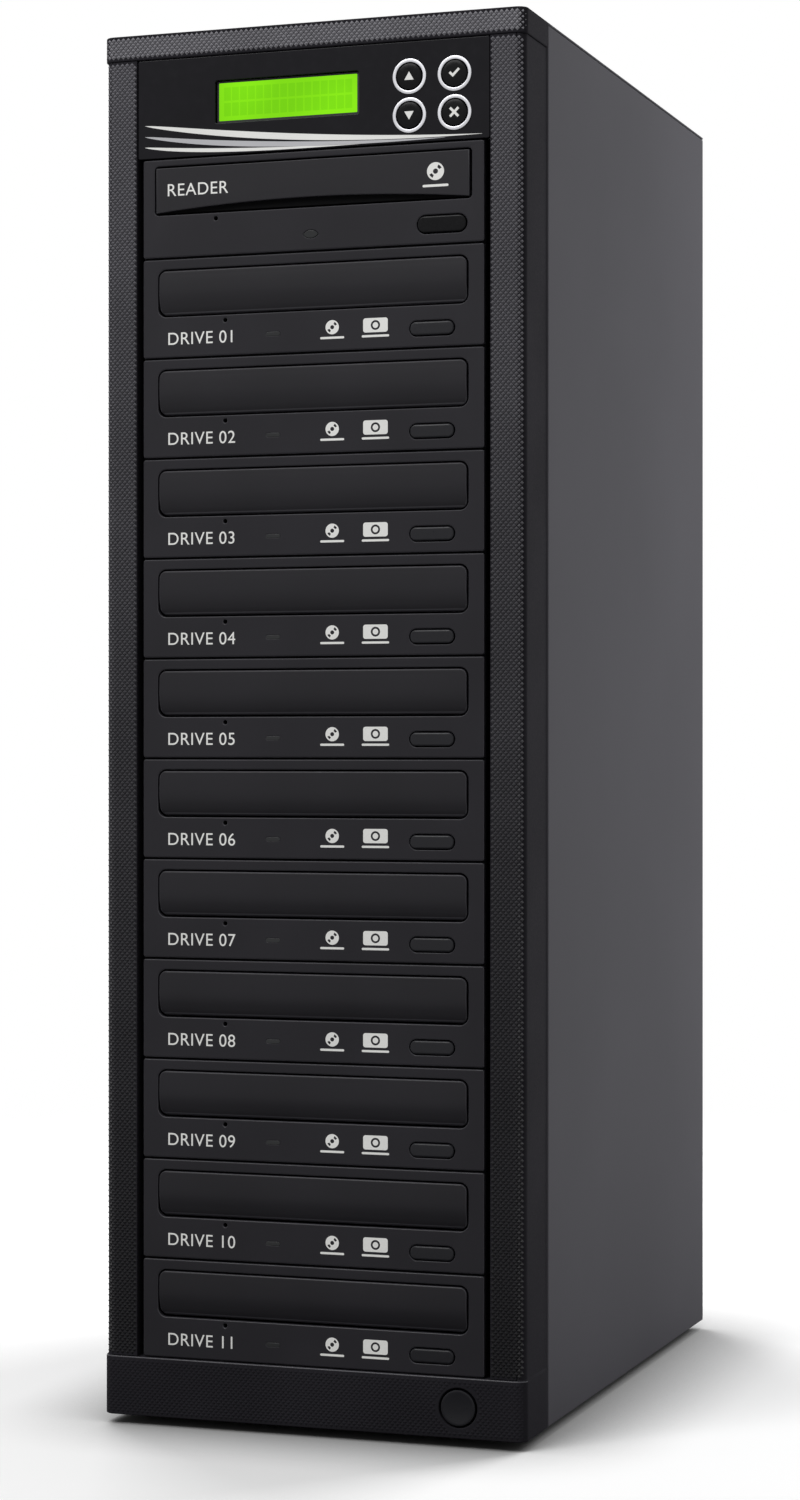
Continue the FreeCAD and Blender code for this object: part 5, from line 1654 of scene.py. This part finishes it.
@dataclass
class DriveStack:
    """Reader and burners with their fronts, trays, buttons, lamps and prints."""

    burners: int = 11
    pitch: float = 41.5
    base_top: float = 28.5
    seam: float = 0.5
    # Depth behind the face from which the fronts' skirts get painted shade
    dark_depth: float = 3.3
    reader: Drive = field(default_factory=lambda: Drive(
        door=(136.5, 18.6, 0.8), door_drop=3.8, eject=(20.6, 6.8, 56.5, 33.0), pinhole=(-41.9, 25.6),
        lamp=(6.6, 3.4, 0.0, 34.3), lens_gap=0.1, door_gap=0.9))
    burner: Drive = field(default_factory=lambda: Drive(
        door=(134.0, 18.4, 3.0), door_drop=5.0, eject=(18.6, 5.5, 52.3, 33.4), pinhole=(-37.7, 26.3),
        lamp=(6.0, 1.4, -16.5, 32.9)))
    # Words; the middle of a capital is a share of the type's size above its foot
    word_x: float = -63.6
    word_drop: float = 33.0
    word_height: float = 7.3
    word_spacing: float = 1.06
    word_middle: float = 0.36
    word_ink: float = 0.03
    # Pictograms: where the ink lies on a face, places across and drops, and sizes
    ink: Pair = (-0.025, 0.05)
    disc_mark: Pair = (9.4, 32.4)
    disc_rise: float = 1.1
    disc_radius: float = 2.9
    disc_hole: float = 0.85
    disc_shine: Pair = (2.3, 1.35)
    shine_angles: Profile = ((25, 65), (205, 245))
    disc_bar: tuple[float, float, float] = (10.4, 0.9, 0.4)
    record_mark: Pair = (28.1, 32.4)
    record_rise: float = 1.2
    record_box: tuple[float, float, float] = (10.6, 5.8, 1.0)
    record_hole: float = 2.0
    record_dot: float = 1.2
    record_bar: tuple[float, float, float] = (11.8, 0.9, 0.4)
    bar_drop: float = 3.2
    reader_mark: Pair = (54.0, 13.2)
    reader_mark_size: float = 1.25
    reader_bar: tuple[float, float, float] = (11.0, 1.0, 0.45)
    reader_bar_drop: float = 17.6
    reader_word_drop: float = 12.9

    def face_top(self, bay: int) -> float:
        """Top edge of the front in a bay, counted from 0 at the controller."""
        return self.base_top + (self.burners + 2 - bay) * self.pitch - self.seam / 2

    def stacked(self, mesh: bpy.types.Mesh, finish: Finish) -> bpy.types.Mesh:
        """Repeat a mesh over all burners.

        Args:
            mesh: mesh about a front's top edge, to use up.
            finish: finish of all of them.

        Returns:
            The mesh of all of them, in place.
        """
        placed = grown(row_tree(), mesh, {
            "Count": self.burners, "Step": (0, 0, self.pitch * MM), "Material": finish.material()})
        placed.transform(Matrix.Translation((0, 0, self.face_top(self.burners + 1) * MM)))
        return placed

    def mark(self, outlines: Sequence[Outline], face: float) -> bpy.types.Mesh:
        """Thin layer of ink on a face."""
        return plate(outlines, (face + self.ink[0], face + self.ink[1]))

    def disc_outlines(self, x: float, drop: float, size: float = 1.0) -> list[Outline]:
        """Outlines of a plain disc pictogram.

        Args:
            x: its place across.
            drop: its place downwards.
            size: how many times as large as usual it is.

        Returns:
            The disc's outline, its hole and two patches of shine.
        """
        z = -drop + self.disc_rise * size
        outer, inner = (radius * size for radius in self.disc_shine)
        outlines = [circle(self.disc_radius * size, x, z, 40), circle(self.disc_hole * size, x, z, 24)]
        for first, last in self.shine_angles:
            outlines.append([*arc(outer, first, last, 8, (x, z)), *arc(inner, last, first, 6, (x, z))])
        return outlines

    def marks(self) -> bpy.types.Mesh:
        """Prints that every burner carries: a disc over a bar, and a record dot in a box over a bar.

        Returns:
            The prints' mesh about the top edge.
        """
        x, drop = self.disc_mark
        layers = [self.disc_outlines(x, drop), [rounded(*self.disc_bar, x, -drop - self.bar_drop, 3)]]
        x, drop = self.record_mark
        z = -drop + self.record_rise
        layers.append([rounded(*self.record_box, x, z, 4), circle(self.record_hole, x, z, 32)])
        layers.append([circle(self.record_dot, x, z, 24)])
        layers.append([rounded(*self.record_bar, x, -drop - self.bar_drop, 3)])
        return joined([self.mark(outlines, self.burner.face) for outlines in layers])

    def word(self, words: str, face: float, z: float) -> bpy.types.Mesh:
        """Printed word.

        Args:
            words: what it says.
            face: depth of the face that it is printed on.
            z: middle height of its capitals.

        Returns:
            The print's mesh.
        """
        curve = bpy.data.curves.new("word", "FONT")
        curve.body = words
        curve.size = self.word_height * MM
        curve.space_character = self.word_spacing
        curve.extrude = self.word_ink * MM
        mesh = welded(baked(bpy.data.objects.new("word", curve)))
        place = at(self.word_x, face, z - self.word_middle * self.word_height)
        mesh.transform(Matrix.Translation(place) @ Matrix.Rotation(math.pi / 2, 4, "X"))
        return mesh

    def fronts(self) -> None:
        """Make the moulded fronts, their lamps and the burners' prints."""
        top = self.face_top(1)
        # Fronts get a painted highlight on their rounded edges and painted shade deep in the seams
        mesh = paint_edge_light_and_gap_shade(self.stacked(self.burner.front(), DRIVE_ABS), DRIVE_ABS, self.dark_depth)
        piece("burner_fronts", mesh, DRIVE_ABS, "tower", ["burner_bezels"])
        mesh = paint_edge_light_and_gap_shade(raised(self.reader.front(), top), DRIVE_ABS, self.dark_depth)
        piece("reader_front", mesh, DRIVE_ABS, "tower", ["reader_bezel"])
        mesh = joined([self.stacked(self.burner.lens(), LENS_ACRYLIC), raised(self.reader.lens(), top)])
        piece("lamp_windows", mesh, LENS_ACRYLIC, "tower", ["lamp_lenses"])
        mesh = self.stacked(self.marks(), INK_LIGHT)
        piece("burner_marks", mesh, INK_LIGHT, "tower")
        mesh = joined([
            self.word("DRIVE %02d" % number, self.burner.face, self.face_top(number + 1) - self.word_drop)
            for number in range(1, self.burners + 1)])
        piece("burner_words", mesh, INK_LIGHT, "tower")

    def eject_buttons(self) -> None:
        """Make an eject button for every drive."""
        button = self.burner.eject_button()
        for number in range(1, self.burners + 1):
            body = "burner_eject_%02d" % number
            mesh = raised(button, self.face_top(number + 1))
            piece(body + "_cap", mesh, BUTTON_ABS, body, [body])
        body = "reader_eject"
        mesh = raised(self.reader.eject_button(), self.face_top(1))
        piece(body + "_cap", mesh, DARK_BUTTON_ABS, body, [body])

    def trays(self) -> None:
        """Make a tray with its door for every drive."""
        # Burner doors get a painted highlight on their rounded edges
        door = paint_edge_light_and_gap_shade(self.burner.crowned_door(), DOOR_ABS)
        sled = self.burner.sled()
        for number in range(1, self.burners + 1):
            top = self.face_top(number + 1)
            body = "burner_tray_%02d" % number
            piece(body + "_door", raised(door, top), DOOR_ABS, body, [body])
            piece(body + "_sled", raised(sled, top), TRAY_ABS, body)
        top = self.face_top(1)
        body = "reader_tray"
        # The reader's door gets a painted highlight on its rounded edges
        door = paint_edge_light_and_gap_shade(self.reader.arched_door(), DOOR_ABS)
        piece(body + "_door", raised(door, top), DOOR_ABS, body, [body])
        # The core is painted nearly black: painted shade below the door's arch
        piece(body + "_core", raised(self.reader.door_core(), top), GAP_SHADE_ABS, body)
        piece(body + "_sled", raised(self.reader.sled(), top), TRAY_ABS, body)
        face = self.reader.door_front
        disc = self.disc_outlines(*self.reader_mark, self.reader_mark_size)
        bar = rounded(*self.reader_bar, self.reader_mark[0], -self.reader_bar_drop, 3)
        word = self.word("READER", face, -self.reader_word_drop)
        marks = joined([self.mark(disc, face), self.mark([bar], face), word])
        piece(body + "_marks", raised(marks, top), INK_LIGHT, body)

    def build(self) -> None:
        """Make every drive's front, tray, button, lamp and prints."""
        self.fronts()
        self.eject_buttons()
        self.trays()


@dataclass
class Fan:
    """A fan: where it is, its rotor and its finger guard."""

    body: str
    x: float
    z: float
    bore: float
    hub: float
    front: float
    rear: float
    guard_face: float
    guard_rings: int
    screws: float
    # Blades: angles to the fan's plane and shares of the chord at root and tip, bow, and sweep in radians
    blades: int = 7
    blade_steps: int = 8
    blade_pitch: Pair = (52.0, 28.0)
    blade_chord: Pair = (0.92, 1.04)
    blade_bow: float = 0.11
    blade_sweep: float = 0.22
    blade_wall: float = 1.3
    blade_room: float = 3.0
    root_sink: float = 1.0
    tip_gap: float = 1.2
    # Hub: shoulder in from the rim and the rear face, and a dish as shares of the radius
    hub_gap: float = 0.6
    hub_sides: int = 56
    hub_shoulder: Profile = ((0.0, 1.4), (0.4, 0.5), (1.4, 0.0))
    dish: Pair = (0.72, 0.7)
    dish_depth: float = 0.35
    # Finger guard
    wire: float = 1.4
    eye_radius: float = 2.9
    eye_room: float = 3.0
    guard_gap: float = 0.05

    def blade(self) -> bpy.types.Mesh:
        """One twisted, cambered blade, standing up from the hub about the origin.

        Returns:
            The blade's mesh.
        """
        shape = bmesh.new()
        steps = self.blade_steps
        depth = self.rear - self.front - self.blade_room
        root = self.hub / 2 - self.root_sink
        tip = self.bore / 2 - self.tip_gap
        first, last = self.blade_pitch
        least, most = self.blade_chord
        rows = []
        for i in range(steps + 1):
            t = i / steps
            radius = root + (tip - root) * t
            pitch = math.radians(first + (last - first) * t)
            chord = depth / math.sin(math.radians(first)) * (least + (most - least) * t)
            row = []
            for k in range(steps + 1):
                s = k / steps - 0.5
                bow = self.blade_bow * chord * (1 - (2 * s) ** 2)
                along = s * chord * math.cos(pitch) + bow * math.sin(pitch)
                back = s * chord * math.sin(pitch) - bow * math.cos(pitch)
                back = max(-depth / 2, min(depth / 2, back))
                turn = along / radius + self.blade_sweep * t
                place = Vector((radius * math.sin(turn), back, radius * math.cos(turn)))
                row.append(shape.verts.new(place * MM))
            rows.append(row)
        for lower, upper in zip(rows, rows[1:]):
            for k in range(steps):
                shape.faces.new((lower[k], lower[k + 1], upper[k + 1], upper[k]))
        obj = bpy.data.objects.new("blade", finished(shape))
        wall = obj.modifiers.new("wall", "SOLIDIFY")
        wall.thickness = self.blade_wall * MM
        wall.offset = 0.0
        return baked(obj)

    def rotor(self) -> None:
        """Make the rotor: hub with a dished face and a ring of blades."""
        ring = grown(spin_tree(), self.blade(), {"Count": self.blades, "Material": FAN_PBT.material()})
        ring.transform(Matrix.Translation(at(self.x, (self.front + self.rear) / 2, self.z)))
        radius = self.hub / 2
        front = self.front + self.hub_gap
        floor = self.rear - self.dish_depth
        profile = [(0, front), (radius, front)]
        profile += [(radius - u, self.rear - v) for u, v in self.hub_shoulder]
        profile += [(radius * self.dish[0], self.rear), (radius * self.dish[1], floor), (0, floor)]
        mesh = joined([ring, lathe(profile, self.x, self.z, self.hub_sides)])
        piece(self.body + "_blades", mesh, FAN_PBT, self.body, [self.body])

    def guard(self) -> bpy.types.Mesh:
        """Finger guard: wire rings welded to two crossed wires that end in eyes.

        Returns:
            The guard's mesh.
        """
        reach = self.screws / math.sqrt(2)
        wire = self.wire
        parts = [rod(wire, 2 * (reach - self.eye_room), turn) for turn in (45, 135)]
        parts += [eye_ring(wire, self.eye_radius, x, z) for x, z in arc(reach, 45, 315, 3)]
        spacing = (self.bore / 2 - wire) / self.guard_rings
        mesh = grown(ring_tree(), joined(parts), {
            "Rings": self.guard_rings, "Spacing": spacing * MM, "Wire": wire * MM,
            "Material": NICKEL_WIRE.material()})
        # The crossed wires lie under the rings, and reach one and a half wires below the rings' middle
        depth = self.guard_face + 1.5 * wire + self.guard_gap
        mesh.transform(Matrix.Translation(at(self.x, depth, self.z)))
        return mesh


@dataclass
class RearSide:
    """Rear of the tower: fans, power supply, inlet, rocker and screws."""

    case_fan: Fan = field(default_factory=lambda: Fan(
        "case_fan_rotor", x=0.0, z=470.0, bore=76.0, hub=34.0, front=275.7, rear=296.0, guard_face=298.0,
        guard_rings=6, screws=71.5))
    supply_fan: Fan = field(default_factory=lambda: Fan(
        "psu_fan_rotor", x=2.3, z=36.75, bore=57.0, hub=27.0, front=284.7, rear=295.0, guard_face=297.0,
        guard_rings=5, screws=50.0))
    frame_edge: float = 0.7
    # Screws: sizes, and places on the panel's folded flanges, under the lid and through the guards' eyes
    screw_radius: float = 3.1
    screw_sides: int = 28
    screw_head: Pair = (0.5, 1.7)
    head_edge: float = 0.3
    screw_seat: Pair = (0.0, 0.9)
    seat_edge: float = 0.05
    recess: Pair = (1.7, 0.32)
    panel: float = 298.0
    flange_wall: float = 1.0
    flange_x: float = 86.0
    flange_screws: tuple[float, ...] = (40.0, 290.0, 540.0)
    lid_screws: tuple[float, ...] = (-60.0, 0.0, 60.0)
    lid_z: float = 571.0
    eye_rise: float = 1.3
    # Inlet and rocker; each mark has a depth, a height and a tilt in degrees
    inlet_x: float = 62.8
    inlet_edge: float = 0.35
    pin_limit: float = 4.0
    rocker_edge: float = 0.5
    mark_ink: Pair = (-0.05, 0.05)
    bar_size: tuple[float, float, float] = (1.0, 5.2, 0.2)
    bar_place: tuple[float, float, float] = (297.76, 31.82, 2.5)
    ring_radii: Pair = (2.7, 1.8)
    ring_place: tuple[float, float, float] = (299.14, 23.13, 15.5)

    def screw(self) -> bpy.types.Mesh:
        """Pan-head screw with a crossed recess that faces backwards, about the origin.

        Returns:
            The screw's mesh.
        """
        rim = circle(self.screw_radius, 0, 0, self.screw_sides)
        head = plate([rim, cross(*self.recess)], self.screw_head, self.head_edge)
        mesh = joined([head, plate([rim], self.screw_seat, self.seat_edge)])
        mesh.transform(Matrix.Translation((0, -FRONT_Y, 0)))
        return mesh

    def screw_places(self) -> list[Vector]:
        """Places of the screws in the rear panel, the lid and the fans.

        Returns:
            The places.
        """
        places = [at(side * self.flange_x, self.panel + self.flange_wall, z)
                  for side in (-1, 1) for z in self.flange_screws]
        places += [at(x, self.panel, self.lid_z) for x in self.lid_screws]
        for fan in (self.case_fan, self.supply_fan):
            half = fan.screws / 2
            places += [at(fan.x + u, fan.guard_face + self.eye_rise, fan.z + v)
                       for u in (-half, half) for v in (-half, half)]
        return places

    def screws(self) -> None:
        """Set the screws in their places."""
        marks = bpy.data.meshes.new("screw_places")
        marks.from_pydata([tuple(place) for place in self.screw_places()], [], [])
        places = bpy.data.objects.new("screw_places", marks)
        bpy.context.scene.collection.objects.link(places)
        mesh = grown(scatter_tree(), self.screw(), {"Places": places, "Material": SCREW_STEEL.material()})
        bpy.data.objects.remove(places)
        piece("rear_screws", mesh, SCREW_STEEL, "tower")

    def inlet(self) -> None:
        """Soften the inlet moulding and give its pins their metal."""
        mesh = softened(finished(node_copy("psu_inlet", whole=False)), self.inlet_edge)
        give(mesh, (INLET_NYLON, PIN_METAL))
        shape = bmesh.new()
        shape.from_mesh(mesh)
        for face in self.pin_faces(shape):
            face.material_index = 1
        shape.to_mesh(mesh)
        shape.free()
        piece("inlet_moulding", mesh, INLET_NYLON, "tower", ["psu_inlet"])

    def pin_faces(self, shape: bmesh.types.BMesh) -> set[Any]:
        """Find the inlet's pins, which are narrow and stand apart from the moulding.

        Args:
            shape: the inlet's mesh.

        Returns:
            The faces of the pins.
        """
        found: set[Any] = set()
        left = set(shape.verts)
        while left:
            island = set()
            todo = [left.pop()]
            while todo:
                vert = todo.pop()
                island.add(vert)
                near = {edge.other_vert(vert) for edge in vert.link_edges} & left
                left -= near
                todo += near
            across = [vert.co.x for vert in island]
            if max(across) - min(across) < self.pin_limit * MM:
                found |= {face for vert in island for face in vert.link_faces}
        return found

    def rocker(self) -> None:
        """Soften the rocker and print a bar and a ring on its two halves."""
        mesh = softened(finished(node_copy("psu_rocker")), self.rocker_edge, 3)
        piece("rocker_paddle", mesh, BUTTON_ABS, "psu_rocker", ["psu_rocker"])
        bar = [rounded(*self.bar_size, 0, 0, 3)]
        ring = [circle(radius, 0, 0) for radius in self.ring_radii]
        marks = []
        for outlines, (depth, z, tilt) in ((bar, self.bar_place), (ring, self.ring_place)):
            mark = plate(outlines, self.mark_ink)
            mark.transform(Matrix.Translation(-at(0, 0, 0)))
            place = Matrix.Translation(at(self.inlet_x, depth, z))
            mark.transform(place @ Matrix.Rotation(math.radians(tilt), 4, "X"))
            marks.append(mark)
        piece("rocker_marks", joined(marks), INK_LIGHT, "psu_rocker")

    def build(self) -> None:
        """Make the rear side's pieces."""
        guards = []
        for fan in (self.case_fan, self.supply_fan):
            fan.rotor()
            guards.append(fan.guard())
        piece("finger_guards", joined(guards), NICKEL_WIRE, "tower", ["fan_guards"])
        mesh = softened(finished(node_copy("fan_frames")), self.frame_edge)
        piece("fan_housings", mesh, FAN_PBT, "tower", ["fan_frames"])
        dress_node("psu_case", ZINC_STEEL)
        self.inlet()
        self.rocker()
        self.screws()


# Floor, light and camera


@dataclass(frozen=True)
class Lamp:
    """A square soft light, with its places and size in metres and its power in watts."""

    name: str
    place: tuple[float, float, float]
    target: tuple[float, float, float]
    size: float
    power: float
    glint: bool = True

    def add(self) -> None:
        """Add the light to the scene; one without a glint isn't mirrored by glossy surfaces."""
        data = bpy.data.lights.new(self.name, "AREA")
        data.size = self.size
        data.energy = self.power
        obj = bpy.data.objects.new(self.name, data)
        obj.visible_glossy = self.glint
        obj.location = self.place
        aim = Vector(self.target) - Vector(self.place)
        obj.rotation_euler = aim.to_track_quat("-Z", "Y").to_euler()
        bpy.context.scene.collection.objects.link(obj)


@dataclass
class Studio:
    """Pale floor, soft light and the camera at the photograph's angle; lengths are in metres."""

    # Camera: turn in degrees, distance to the near corner, and the photograph's pixels to a millimetre there
    azimuth: float = 19.0
    distance: float = 1.30
    height: float = 0.281
    aim_x: float = -0.012
    scale: float = 2.505
    image: tuple[int, int] = (800, 1500)
    sensor: float = 36.0
    clip: Pair = (0.05, 100.0)
    # Light from all round, and lamps
    ambient: float = 0.27
    floor_reach: float = 30.0
    lamps: tuple[Lamp, ...] = (
        Lamp("key_light", (-0.5, -1.3, 1.7), (0.0, 0.0, 0.3), 1.0, 23.0),
        Lamp("side_light", (0.62, 1.0, 0.75), (0.1, 0.2, 0.4), 0.7, 14.0, glint=False),
        Lamp("rear_light", (-1.2, 1.5, 1.6), (0.0, 0.0, 0.3), 1.0, 19.0))

    def floor(self) -> None:
        """Lay the floor."""
        shape = bmesh.new()
        bmesh.ops.create_grid(shape, x_segments=2, y_segments=2, size=self.floor_reach)
        floor = bpy.data.objects.new("floor", finished(shape))
        floor.data.materials.append(FLOOR_PAINT.material())
        bpy.context.scene.collection.objects.link(floor)

    def world(self) -> None:
        """Light the set from all round; the camera and reflections see a white room."""
        world = bpy.data.worlds.new("studio")
        world.use_nodes = True
        tree = world.node_tree
        tree.nodes.clear()
        path = add_node(tree, "ShaderNodeLightPath")
        mirrored = add_node(tree, "ShaderNodeMath", {
            0: path.outputs["Is Camera Ray"], 1: path.outputs["Is Glossy Ray"]}, operation="MAXIMUM")
        seen = add_node(tree, "ShaderNodeMath", {
            0: mirrored.outputs[0], 1: path.outputs["Is Transmission Ray"]}, operation="MAXIMUM")
        level = add_node(tree, "ShaderNodeMapRange", {
            "Value": seen.outputs[0], "To Min": self.ambient, "To Max": 1.0})
        light = add_node(tree, "ShaderNodeBackground", {
            "Color": linear("#ffffff"), "Strength": level.outputs[0]})
        add_node(tree, "ShaderNodeOutputWorld", {0: light.outputs[0]})
        bpy.context.scene.world = world

    def camera(self) -> None:
        """Set the camera up, level, at the photograph's angle."""
        data = bpy.data.cameras.new("camera")
        obj = bpy.data.objects.new("camera", data)
        turn = math.radians(self.azimuth)
        back = Vector((math.sin(turn), -math.cos(turn), 0))
        side = Vector((math.cos(turn), math.sin(turn), 0))
        corner = Vector((CAD_BOX[1].x, CAD_BOX[0].y, 0))
        along = corner.dot(back) + self.distance
        obj.location = back * along + side * self.aim_x + Vector((0, 0, self.height))
        obj.rotation_euler = (math.pi / 2, 0, turn)
        data.sensor_width = self.sensor
        data.lens = self.scale * self.distance / MM * self.sensor / self.image[1]
        data.clip_start = self.clip[0]
        data.clip_end = self.clip[1]
        bpy.context.scene.collection.objects.link(obj)
        bpy.context.scene.camera = obj

    def build(self) -> None:
        """Make the whole set."""
        bpy.context.scene.view_settings.view_transform = "Standard"
        self.floor()
        self.world()
        for lamp in self.lamps:
            lamp.add()
        self.camera()


def main() -> None:
    """Build every sub-assembly and the set."""
    logging.basicConfig(level=logging.INFO, format="%(name)s: %(message)s")
    for part in (Cabinet(), MouldedFront(), Controller(), DriveStack(), RearSide(), Studio()):
        LOG.info("building %s", type(part).__name__)
        part.build()


if __name__ == "__main__":
    main()
